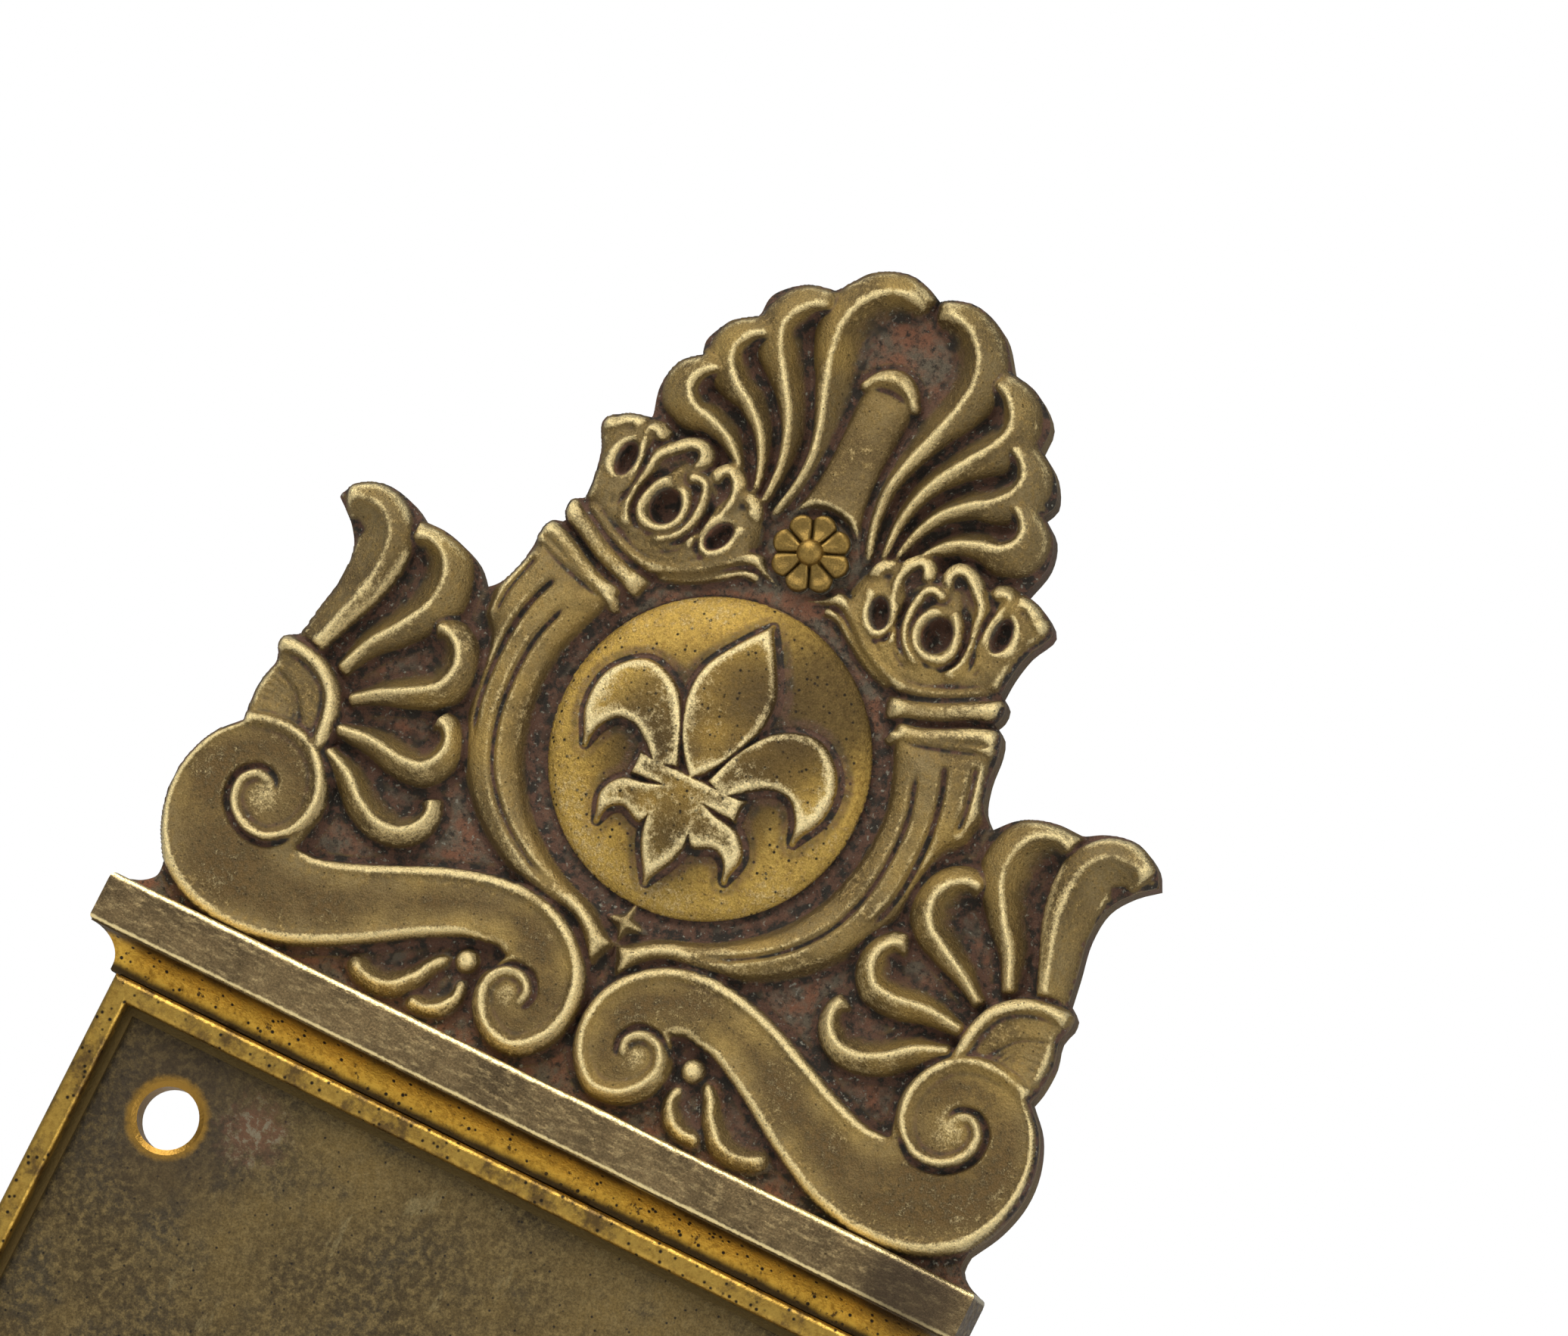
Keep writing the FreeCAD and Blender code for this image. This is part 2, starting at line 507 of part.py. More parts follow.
def rosette(z, radius, petals, seat, shank_r):
    """Petalled boss on a riveted or threaded shank."""
    work = [stud(0, z, radius * 0.72, seat, seat + 1.5)]
    for i in range(petals):
        turn = math.radians(360.0 * i / petals)
        reach = radius * 0.66
        petal_r = radius - reach
        work.append(stud(reach * math.sin(turn), z + reach * math.cos(turn), petal_r * 1.12,
                         seat, seat + 1.7))
    work.append(Part.makeSphere(radius * 0.34, V(0, -seat - 1.5, z)))
    work.append(Part.makeCone(radius * 0.22, 0.1, 1.3, V(0, -seat - 2.3, z), V(0, -1, 0)))
    work.append(stud(0, z, shank_r, 0.1, seat + 1.0))
    body = joined(work[0], work[1:])
    return body.common(stud(0, z, radius, 0, 9.0))


# --- foot -----------------------------------------------------------------------------------
FOOT_RUNS = (
    [(43.3, 113.75), (41.0, 114.9), (40.2, 117.0)],
    [(40.2, 117.0), (39.6, 121.6), (35.4, 125.0), (30.6, 124.6), (25.4, 121.4)],
    [(25.4, 121.4), (21.2, 121.9), (18.6, 124.8)],
    [(18.6, 124.8), (17.4, 128.4), (12.6, 129.6)],
    [(12.6, 129.6), (10.8, 133.0), (5.6, 133.4)],
    [(5.6, 133.4), (3.6, 135.8), (0.0, 136.25)],
)
FOOT_SCROLL = (
    [(39.4, 116.4), (38.9, 120.9), (34.8, 123.9), (30.8, 123.5), (25.2, 120.4), (17.6, 119.0),
     (9.0, 121.2)],
    [(9.0, 121.2), (6.8, 119.0), (8.4, 116.4)],
    [(8.4, 116.4), (16.4, 114.9), (25.0, 115.4), (29.0, 117.4), (31.6, 115.4), (36.0, 114.6),
     (39.4, 116.4)],
)
FOOT_SPIRAL = [(29.6, 118.2), (31.0, 120.9), (34.2, 121.6), (36.4, 119.4), (35.0, 117.3), (33.2, 118.4)]
FOOT_RIMS = (
    [(2.4, 122.8), (3.6, 127.6), (3.4, 132.4), (0.9, 134.9)],
    [(4.2, 122.4), (7.6, 126.6), (10.0, 130.4), (6.4, 132.2)],
    [(6.4, 122.0), (10.4, 123.6), (14.4, 126.0)],
)


def hanging(points):
    return [(x, -z) for x, z in points]


def foot_casting():
    runs = [hanging(run) for run in FOOT_RUNS]
    top = runs[0][0]
    runs += [[runs[-1][-1], (0, top[1])], [(0, top[1]), top]]
    half = raised(runs, CREST_GROUND)
    low = CREST_GROUND - 1.0
    scroll = raised([hanging(run) for run in FOOT_SCROLL], 5.4, low)
    work = [half, cut(scroll, [ribbon(hanging(FOOT_SPIRAL), 0.7, 6.2, 4.2)])]
    work += [ribbon(hanging(line), 1.6, 5.3, low) for line in FOOT_RIMS]
    base = cornice().mirror(V(0, 0, 0), V(0, 0, 1))
    body = joined(base, both_sides(work))
    well = stud(0, PENDANT_Z, PENDANT_R + 0.5, 3.0, 9.0)
    hollow = stud(0, PENDANT_Z, 4.2, -1, 1.6)
    bore = stud(0, PENDANT_Z, 1.3, -1, 9.0)
    seats = [c.mirror(V(0, 0, 0), V(0, 0, 1)) for c in rebate()]
    return cut(body, [well, hollow, bore] + seats)


# --- flap -------------------------------------------------------------------------------
def turned(shape):
    """Moves a shape drawn round the origin's vertical axis onto the hinge axis."""
    moved = shape.copy()
    moved.translate(V(HINGE_X, 0, 0))
    return moved


def rolled_edge():
    """Quarter-round shell, centred on the hinge, that fills the slot's edge at any angle."""
    height = 2 * BARREL_HALF_H
    base = V(0, 0, -BARREL_HALF_H)
    outer = Part.makeCylinder(FLAP_FRONT, height, base, V(0, 0, 1), 90)
    inner = Part.makeCylinder(FLAP_BACK, height, base, V(0, 0, 1), 90)
    shell = outer.cut(inner)
    shell.rotate(V(0, 0, 0), V(0, 0, 1), 180)
    return turned(shell)


def knuckle(z0, z1):
    wedge = Part.makeCylinder(FLAP_FRONT - 0.5, z1 - z0, V(0, 0, z0), V(0, 0, 1), 90)
    wedge.rotate(V(0, 0, 0), V(0, 0, 1), 180)
    web = box(HINGE_X - 0.01, HINGE_X + KNUCKLE_R, z0, z1, 0, FLAP_BACK + 0.5)
    return turned(wedge).fuse([upright(HINGE_X, z0, z1, KNUCKLE_R), web])


def flap():
    leaf = box(HINGE_X, FLAP_RIGHT, -FLAP_HALF_H, FLAP_HALF_H, FLAP_BACK, FLAP_FRONT)
    rounded = [e for e in leaf.Edges if abs(e.CenterOfMass.y + FLAP_FRONT) < 0.01
               and e.CenterOfMass.x > HINGE_X + 1]
    leaf = leaf.makeFillet(0.6, rounded)
    lip = upright(FLAP_RIGHT - 2.2, -FLAP_HALF_H + 1.5, FLAP_HALF_H - 1.5, LIP_R, FLAP_FRONT)
    lip = lip.common(box(0, 60, -80, 80, FLAP_BACK + 0.2, 9))
    sunk = box(HINGE_X + 5.0, FLAP_RIGHT - 5.6, -FLAP_HALF_H + 5.0, FLAP_HALF_H - 5.0,
               FLAP_FRONT - 0.5, FLAP_FRONT + 1)
    notches = [box(HINGE_X - 1, HINGE_X + FLAP_NOTCH, z0, z1, 0, 9) for z0, z1 in
               ((BARREL_HALF_H, 80), (-80, -BARREL_HALF_H))]
    body = cut(leaf.fuse(lip), [sunk] + notches)
    body = joined(body, [rolled_edge()] + [knuckle(z0, z1) for z0, z1 in KNUCKLES])
    pin_hole = upright(HINGE_X, -80, 80, PIN_R + PIN_PLAY)
    pads = [stud(x, z, PAD_R, FLAP_BACK - 1, FLAP_BACK + PAD_DEPTH) for x, z in PAD_PLACES]
    catch_hole = stud(CATCH_X, SPRING_TOP, CATCH_R, FLAP_BACK - 1, FLAP_BACK + 1.2)
    return cut(body, [pin_hole, catch_hole] + pads)


def flap_buffers():
    """Leather pads let into the flap's back, that land on the panel beside the slot."""
    return Part.makeCompound([stud(x, z, PAD_R, FLAP_BACK - PAD_PROUD, FLAP_BACK + PAD_DEPTH)
                              for x, z in PAD_PLACES])


def spring_catch():
    """Eye on the flap's back that holds the spring's free leg."""
    post = stud(CATCH_X, SPRING_TOP, CATCH_R, 1.0, FLAP_BACK + 1.2)
    eye = Part.makeCylinder(SPRING_WIRE_R + 0.1, 4, V(CATCH_X - 2, -SPRING_COIL_R, SPRING_TOP),
                            V(1, 0, 0))
    return post.cut(eye)


# --- hinge -------------------------------------------------------------------------------
def hinge_pin():
    shank = upright(HINGE_X, -LUG_END, LUG_END, PIN_R)
    thread = upright(HINGE_X, -PIN_END, -LUG_END, PIN_THREAD_R)
    head = upright(HINGE_X, LUG_END, PIN_HEAD_TOP, PIN_HEAD_R)
    slot = box(HINGE_X - 3, HINGE_X + 3, PIN_HEAD_TOP - 0.8, PIN_HEAD_TOP + 1, -0.35, 0.35)
    tang_hole = Part.makeCylinder(SPRING_WIRE_R + 0.05, 2 * PIN_R + 2,
                                  V(HINGE_X, -PIN_R - 1, -SPRING_TOP), V(0, 1, 0))
    return cut(joined(shank, [thread, head]), [slot, tang_hole])


def nut_on_pin():
    """Round slotted nut that clamps the pin in its lugs, small enough for the pin's groove."""
    z0 = -LUG_END - NUT_WASHER_T - NUT_T
    slot = box(HINGE_X - 3, HINGE_X + 3, z0 - 1, z0 + 0.6, -0.3, 0.3)
    ring_nut = upright(HINGE_X, z0, z0 + NUT_T, PIN_HEAD_R)
    return cut(ring_nut, [upright(HINGE_X, z0 - 1, z0 + 3, PIN_THREAD_R), slot])


def nut_washer():
    z0 = -LUG_END - NUT_WASHER_T
    return upright(HINGE_X, z0, -LUG_END, PIN_HEAD_R).cut(
        upright(HINGE_X, z0 - 1, z0 + 2, PIN_THREAD_R))


def thrust_washers():
    """Thin washers on the pin between the flap's ends and the lugs."""
    washers = []
    for z0, z1 in ((SLOT_HALF_H - THRUST_WASHER_T, SLOT_HALF_H),
                   (-SLOT_HALF_H, THRUST_WASHER_T - SLOT_HALF_H)):
        disc = upright(HINGE_X, z0, z1, 2.4)
        washers.append(disc.cut(upright(HINGE_X, z0 - 1, z1 + 1, PIN_R)))
    return Part.makeCompound(washers)


def closing_spring():
    """Torsion spring: its tang sits in the pin's cross-hole, its leg in the flap's catch."""
    height = SPRING_PITCH * SPRING_TURNS
    helix = Part.makeHelix(SPRING_PITCH, height, SPRING_COIL_R)
    helix.rotate(V(0, 0, 0), V(0, 0, 1), -90)
    helix.translate(V(0, 0, -SPRING_TOP))
    start = V(0, -SPRING_COIL_R, -SPRING_TOP)
    wire_disc = Part.Wire(Part.makeCircle(SPRING_WIRE_R, start, V(1, 0, 0)))
    coil = Part.Wire(helix.Edges).makePipeShell([wire_disc], True, True)
    end_x = SPRING_COIL_R * math.sin(math.radians(360.0 * SPRING_TURNS))
    leg = Part.makeCylinder(SPRING_WIRE_R, SPRING_LEG, V(end_x, -SPRING_COIL_R, SPRING_TOP), V(1, 0, 0))
    tang = Part.makeCylinder(SPRING_WIRE_R, SPRING_COIL_R + 0.6, V(0, -SPRING_COIL_R, -SPRING_TOP),
                             V(0, 1, 0))
    return turned(coil.fuse([leg, tang]))


# --- write every node ----------------------------------------------------------------------
save("front_plate", front_plate())
save("crest_header", crest_header())
save("foot_casting", foot_casting())
save("roundel", roundel())
save("roundel_washer", stud(0, DISC_Z, 4.6, 2.4, 2.8).cut(stud(0, DISC_Z, 2.0, 0, 9)))
save("roundel_nut", hex_nut(0, DISC_Z, 7.0, 0.2, 2.4, 2.0))
save("rosette_stud", rosette(ROSETTE_Z, ROSETTE_R, 8, 3.0, 1.25))
save("rosette_nut", hex_nut(0, ROSETTE_Z, 5.0, 0.2, 1.6, 1.25))
save("pendant_stud", rosette(PENDANT_Z, PENDANT_R, 6, 3.0, 1.25))
save("pendant_nut", hex_nut(0, PENDANT_Z, 5.0, 0.2, 1.6, 1.25))
save("header_screws", join_screws(1))
save("foot_screws", join_screws(-1))
save("header_dowels", dowels(1))
save("foot_dowels", dowels(-1))
save("flap", flap())
save("flap_buffers", flap_buffers())
save("spring_catch", spring_catch())
save("hinge_pin", hinge_pin())
save("pin_nut", nut_on_pin())
save("pin_washer", nut_washer())
save("thrust_washers", thrust_washers())
save("closing_spring", closing_spring())
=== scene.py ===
# %% [markdown]
# # An antique cast-brass letter plate
#
# This lesson dresses a measured letter plate: a framed panel with a sprung flap, a leafy
# crest with a domed roundel above it and a small scrolled foot below it. The measured model
# comes in as a fixed frame, so every size and place is read from it, and each piece made
# here rides on one of its bodies. Lengths inside the modelling helpers are millimetres,
# because a pattern maker thinks in them; they become metres when a mesh is made.

# %% Load the frame
import json
import math

import bmesh
import bpy
import numpy as np
from mathutils import Matrix, Vector


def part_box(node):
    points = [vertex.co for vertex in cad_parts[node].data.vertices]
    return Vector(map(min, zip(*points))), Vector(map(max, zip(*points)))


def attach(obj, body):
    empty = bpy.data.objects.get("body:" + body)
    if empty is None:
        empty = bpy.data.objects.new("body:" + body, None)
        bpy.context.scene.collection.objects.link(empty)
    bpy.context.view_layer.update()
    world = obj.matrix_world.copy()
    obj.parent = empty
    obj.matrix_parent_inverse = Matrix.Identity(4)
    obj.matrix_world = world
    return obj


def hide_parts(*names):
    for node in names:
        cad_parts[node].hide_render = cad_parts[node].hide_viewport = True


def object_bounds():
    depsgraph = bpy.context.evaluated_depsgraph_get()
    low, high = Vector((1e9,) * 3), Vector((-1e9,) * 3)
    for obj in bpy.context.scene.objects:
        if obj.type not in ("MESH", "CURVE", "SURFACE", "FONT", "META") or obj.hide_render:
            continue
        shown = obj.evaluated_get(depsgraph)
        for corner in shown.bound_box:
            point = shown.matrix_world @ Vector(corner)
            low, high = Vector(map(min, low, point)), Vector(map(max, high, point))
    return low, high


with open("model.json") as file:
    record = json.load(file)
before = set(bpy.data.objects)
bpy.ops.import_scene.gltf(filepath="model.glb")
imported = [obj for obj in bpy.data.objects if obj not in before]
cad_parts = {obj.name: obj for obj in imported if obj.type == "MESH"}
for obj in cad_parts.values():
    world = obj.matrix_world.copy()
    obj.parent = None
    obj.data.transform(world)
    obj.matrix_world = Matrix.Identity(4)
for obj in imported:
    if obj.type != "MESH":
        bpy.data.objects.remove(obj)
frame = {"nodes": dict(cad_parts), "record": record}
cad_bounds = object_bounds()
MM = 0.001
PLATE = "plate"


def node_mm(node):
    """Lowest and highest corner of a measured piece, in millimetres."""
    low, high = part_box(node)
    return np.array(low) / MM, np.array(high) / MM


roundel_low, roundel_high = node_mm("roundel")
DISC_Z = 0.5 * (roundel_low[2] + roundel_high[2])
DISC_R = 0.5 * (roundel_high[0] - roundel_low[0])
print("roundel centre at z = %.2f mm, radius %.2f mm" % (DISC_Z, DISC_R))

# %% [markdown]
# ## Smooth lines
#
# Cast ornament is drawn with long, easy curves. A drawn line here is a handful of points a
# carver would prick through the pattern, joined by a centripetal Catmull-Rom curve, which
# passes through every point and never loops or overshoots between uneven ones.

# %% Lines through a few points
def smooth_line(points, spacing=0.3):
    """Points about spacing apart along a smooth curve through the given (x, z) points."""
    p = np.array(points, float)
    p = np.vstack([2 * p[0] - p[1], p, 2 * p[-1] - p[-2]])
    pieces = []
    for i in range(len(p) - 3):
        p0, p1, p2, p3 = p[i:i + 4]
        t0 = 0.0
        t1 = t0 + np.linalg.norm(p1 - p0) ** 0.5
        t2 = t1 + np.linalg.norm(p2 - p1) ** 0.5
        t3 = t2 + np.linalg.norm(p3 - p2) ** 0.5
        count = max(2, int(np.linalg.norm(p2 - p1) / spacing) + 1)
        t = np.linspace(t1, t2, count, endpoint=False)[:, None]
        a1 = (t1 - t) / (t1 - t0) * p0 + (t - t0) / (t1 - t0) * p1
        a2 = (t2 - t) / (t2 - t1) * p1 + (t - t1) / (t2 - t1) * p2
        a3 = (t3 - t) / (t3 - t2) * p2 + (t - t2) / (t3 - t2) * p3
        b1 = (t2 - t) / (t2 - t0) * a1 + (t - t0) / (t2 - t0) * a2
        b2 = (t3 - t) / (t3 - t1) * a2 + (t - t1) / (t3 - t1) * a3
        pieces.append((t2 - t) / (t2 - t1) * b1 + (t - t1) / (t2 - t1) * b2)
    pieces.append(p[-2][None, :])
    return np.vstack(pieces)


def outline_of(runs, spacing=0.3):
    """Closed outline from runs that meet end to end; a run of two points stays straight."""
    parts = []
    for run in runs:
        line = np.array(run, float) if len(run) == 2 else smooth_line(run, spacing)
        parts.append(line[:-1])
    return np.vstack(parts)


def nearest(x, z, line):
    """Distance to a line, how far along it (0 to 1) and which side: +1 is its left."""
    a, b = line[:-1], line[1:]
    ab = b - a
    length = np.hypot(ab[:, 0], ab[:, 1])
    start = np.concatenate([[0.0], np.cumsum(length)[:-1]])
    distance = np.empty(len(x))
    share = np.empty(len(x))
    side = np.empty(len(x))
    for k in range(0, len(x), 20000):
        px = x[k:k + 20000, None] - a[:, 0]
        pz = z[k:k + 20000, None] - a[:, 1]
        t = np.clip((px * ab[:, 0] + pz * ab[:, 1]) / (length ** 2 + 1e-12), 0, 1)
        dx = px - t * ab[:, 0]
        dz = pz - t * ab[:, 1]
        best = np.argmin(dx * dx + dz * dz, axis=1)
        row = np.arange(len(best))
        distance[k:k + 20000] = np.hypot(dx[row, best], dz[row, best])
        share[k:k + 20000] = (start[best] + t[row, best] * length[best]) / length.sum()
        cross = ab[best, 0] * dz[row, best] - ab[best, 1] * dx[row, best]
        side[k:k + 20000] = np.where(cross >= 0, 1.0, -1.0)
    return distance, share, side


def inside(x, z, outline):
    """True for the points inside a closed outline."""
    x0, z0 = outline[:, 0], outline[:, 1]
    x1, z1 = np.roll(x0, -1), np.roll(z0, -1)
    found = np.zeros(len(x), bool)
    for k in range(0, len(x), 20000):
        px, pz = x[k:k + 20000, None], z[k:k + 20000, None]
        spans = (z0 > pz) != (z1 > pz)
        cut = x0 + (pz - z0) / np.where(z1 == z0, 1e-12, z1 - z0) * (x1 - x0)
        found[k:k + 20000] = (spans & (px < cut)).sum(axis=1) % 2 == 1
    return found


def signed_distance(x, z, outline):
    """Distance to a closed outline, positive inside it."""
    closed = np.vstack([outline, outline[:1]])
    distance = nearest(x, z, closed)[0]
    return np.where(inside(x, z, outline), distance, -distance)


def soft_noise(x, z, scale, seed):
    """Smooth random undulation between -1 and 1, with features about scale wide."""
    rng = np.random.default_rng(seed)
    size = 256
    table = rng.uniform(-1, 1, (size, size))
    u, v = x / scale + 50.0, z / scale + 50.0
    i, j = np.floor(u).astype(int), np.floor(v).astype(int)
    fu, fv = u - i, v - j
    fu, fv = fu * fu * (3 - 2 * fu), fv * fv * (3 - 2 * fv)
    i, j = i % size, j % size
    k, m = (i + 1) % size, (j + 1) % size
    low = table[i, j] * (1 - fu) + table[k, j] * fu
    high = table[i, m] * (1 - fu) + table[k, m] * fu
    return low * (1 - fv) + high * fv


# %% [markdown]
# ## A relief, carved as a field of heights
#
# The crest is a shallow relief: no part of it is undercut, so it is one height above the
# door at each place. It could be sculpted by hand or built from many swept ribs, but a
# field of heights on a fine grid lets each leaf rim, scroll and hollow be laid on with its
# own section and melted into its neighbours, as wax is on a casting pattern. The same
# field then tells the finish where hands have polished and where dirt has stayed.

# %% The relief block
def round_fall(t):
    return np.sqrt(np.clip(1 - t * t, 0, 1))


def hollow_fall(t):
    return np.clip(1 - t, 0, 1) ** 2.1


def lip_fall(t):
    return (1 - 0.32 * t) * round_fall(t)


def scoop_fall(t):
    return np.clip(1 - t, 0, 1) ** 1.5


def bell_fall(t):
    t = np.clip(t, 0, 1)
    return 1 - t * t * (3 - 2 * t)


def along(share, values):
    """Value at a share of a line's length, from values spread evenly along it."""
    return np.interp(share, np.linspace(0, 1, len(values)), values) if len(values) > 1 else values[0]


class Relief:
    """Heights above the door, in millimetres, on a square grid of (x, z) places."""

    def __init__(self, low, high, step, ground):
        self.step = step
        self.xs = low[0] + step * np.arange(int(round((high[0] - low[0]) / step)) + 1)
        self.zs = low[1] + step * np.arange(int(round((high[1] - low[1]) / step)) + 1)
        grid_x, grid_z = np.meshgrid(self.xs, self.zs, indexing="ij")
        self.x, self.z = grid_x.ravel(), grid_z.ravel()
        self.h = np.full(self.x.shape, float(ground))
        self.earth = np.zeros(self.x.shape)
        self.polish = np.zeros(self.x.shape)
        self.grime = np.zeros(self.x.shape)
        self.dull = np.zeros(self.x.shape)

    def near(self, line, margin):
        low, high = line.min(axis=0) - margin, line.max(axis=0) + margin
        return np.nonzero((self.x > low[0]) & (self.x < high[0])
                          & (self.z > low[1]) & (self.z < high[1]))[0]

    def lay(self, where, height, melt):
        """Lays a height over the field; melt is how softly it joins what is there."""
        old = self.h[where]
        self.h[where] = 0.5 * (old + height + np.sqrt((old - height) ** 2 + melt ** 2)) \
            - 0.5 * melt * np.exp(-((old - height) / (2 * melt)) ** 2)

    def ridge(self, points, top, base, left, right, left_fall=hollow_fall,
              right_fall=round_fall, melt=0.06, fade=(0.0, 0.0)):
        """Raised line whose two flanks have their own width and section."""
        line = smooth_line(points)
        left, right, top = (np.atleast_1d(np.array(v, float)) for v in (left, right, top))
        where = self.near(line, max(left.max(), right.max()) + 0.2)
        d, share, side = nearest(self.x[where], self.z[where], line)
        at = lambda v: along(share, v)
        width = np.where(side > 0, at(left), at(right))
        t = d / width
        fall = np.where(side > 0, left_fall(t), right_fall(t))
        crown = at(top) * np.ones(len(where))
        if fade[0] > 0:
            crown -= (crown - base) * np.clip(1 - share / fade[0], 0, 1) ** 2
        if fade[1] > 0:
            crown -= (crown - base) * np.clip(1 - (1 - share) / fade[1], 0, 1) ** 2
        keep = t < 1
        self.lay(where[keep], (base + (crown - base) * fall)[keep], melt)

    def plateau(self, outline, top, base, width, fall=round_fall, crown=0.0, crown_width=2.0,
                melt=0.06):
        """Raised flat shape; crown lifts its middle into a rounded section."""
        where = self.near(outline, width + 0.2)
        d = signed_distance(self.x[where], self.z[where], outline)
        level = top[where] if np.ndim(top) else np.full(len(where), float(top))
        level = level + crown * round_fall(1 - np.clip(d / crown_width, 0, 1))
        height = np.where(d >= 0, level, base + (level - base) * fall(-d / width))
        keep = d > -width
        self.lay(where[keep], height[keep], melt)

    def groove(self, points, depth, width, fall=bell_fall, fade=(0.0, 0.0)):
        """Cut line; depth and width may be lists that change along it."""
        line = smooth_line(points)
        width = np.atleast_1d(np.array(width, float))
        depth = np.atleast_1d(np.array(depth, float))
        where = self.near(line, width.max() + 0.1)
        d, share = nearest(self.x[where], self.z[where], line)[:2]
        at = lambda v: along(share, v)
        cut = at(depth) * fall(d / at(width))
        if fade[0] > 0:
            cut = cut * np.clip(share / fade[0], 0, 1)
        if fade[1] > 0:
            cut = cut * np.clip((1 - share) / fade[1], 0, 1)
        self.h[where] -= cut

    def sink(self, outline, floor, width):
        """Hollow with a flat floor and a sloping side."""
        where = self.near(outline, 0.2)
        d = signed_distance(self.x[where], self.z[where], outline)
        share = np.clip(d / width, 0, 1)
        share = share * share * (3 - 2 * share)
        deep = d > 0
        new = self.h[where] * (1 - share) + np.minimum(floor, self.h[where]) * share
        self.h[where[deep]] = new[deep]

    def blurred(self, values, radius, passes=3):
        """Box blurs, three of which come close to a Gaussian one."""
        grid = values.reshape(len(self.xs), len(self.zs))
        reach = max(1, int(round(radius / self.step)))
        for _ in range(passes):
            for axis in (0, 1):
                pad = [(0, 0), (0, 0)]
                pad[axis] = (reach + 1, reach)
                total = np.cumsum(np.pad(grid, pad, mode="edge"), axis=axis)
                ahead = [slice(None), slice(None)]
                behind = [slice(None), slice(None)]
                ahead[axis] = slice(2 * reach + 1, None)
                behind[axis] = slice(0, -2 * reach - 1)
                grid = (total[tuple(ahead)] - total[tuple(behind)]) / (2 * reach + 1)
        return grid.ravel()


# %% [markdown]
# ## From a field to a mesh
#
# The grid is trimmed to the casting's outline: squares wholly inside it are kept, and the
# points on the trimmed edge slide onto the outline, so the silhouette is as smooth as the
# drawn line. Side walls and a flat back close the solid. Four values are stored on each
# point for the finish: worn (sharp high places), dirt (low places), earth (flat ground) and
# dull (broad faces that nobody has rubbed, and low flanks, as painted shade).

# %% Closing and keeping a solid
def fill_loop(bm, loops):
    """Fills nested loops of bmesh points with triangles."""
    edges = []
    for loop in loops:
        for i, v in enumerate(loop):
            w = loop[(i + 1) % len(loop)]
            edges.append(bm.edges.get((v, w)) or bm.edges.new((v, w)))
    return bmesh.ops.triangle_fill(bm, use_beauty=True, use_dissolve=False, edges=edges)


def wall_between(bm, low, high):
    """Faces between two closed loops of the same length."""
    for k in range(len(low)):
        n = (k + 1) % len(low)
        bm.faces.new([low[k], low[n], high[n], high[k]])


def solid(name, bm, finish=None, smooth_angle=None):
    """Object from a closed bmesh, its faces turned outwards; it is smooth below the angle."""
    bmesh.ops.recalc_face_normals(bm, faces=bm.faces[:])
    mesh = bpy.data.meshes.new(name)
    bm.to_mesh(mesh)
    bm.free()
    if finish is not None:
        mesh.materials.append(finish)
    piece = bpy.data.objects.new(name, mesh)
    bpy.context.collection.objects.link(piece)
    if smooth_angle is not None:
        shade_smooth(mesh, smooth_angle)
    return piece


def shade_smooth(mesh, angle):
    mesh.polygons.foreach_set("use_smooth", [True] * len(mesh.polygons))
    mesh.set_sharp_from_angle(angle=math.radians(angle))


# %% Trim, close and colour a relief
LIFT_REACH = (0.24, 0.55, 1.4)      # how far round itself a place is compared, in millimetres


def ordered_loops(pairs):
    """Chains (a, b) index pairs, each used once, into closed loops."""
    follow = {a: b for a, b in pairs}
    loops = []
    while follow:
        first, at = next(iter(follow.items()))
        loop = [first]
        del follow[first]
        while at != first:
            loop.append(at)
            at = follow.pop(at)
        loops.append(loop)
    return loops


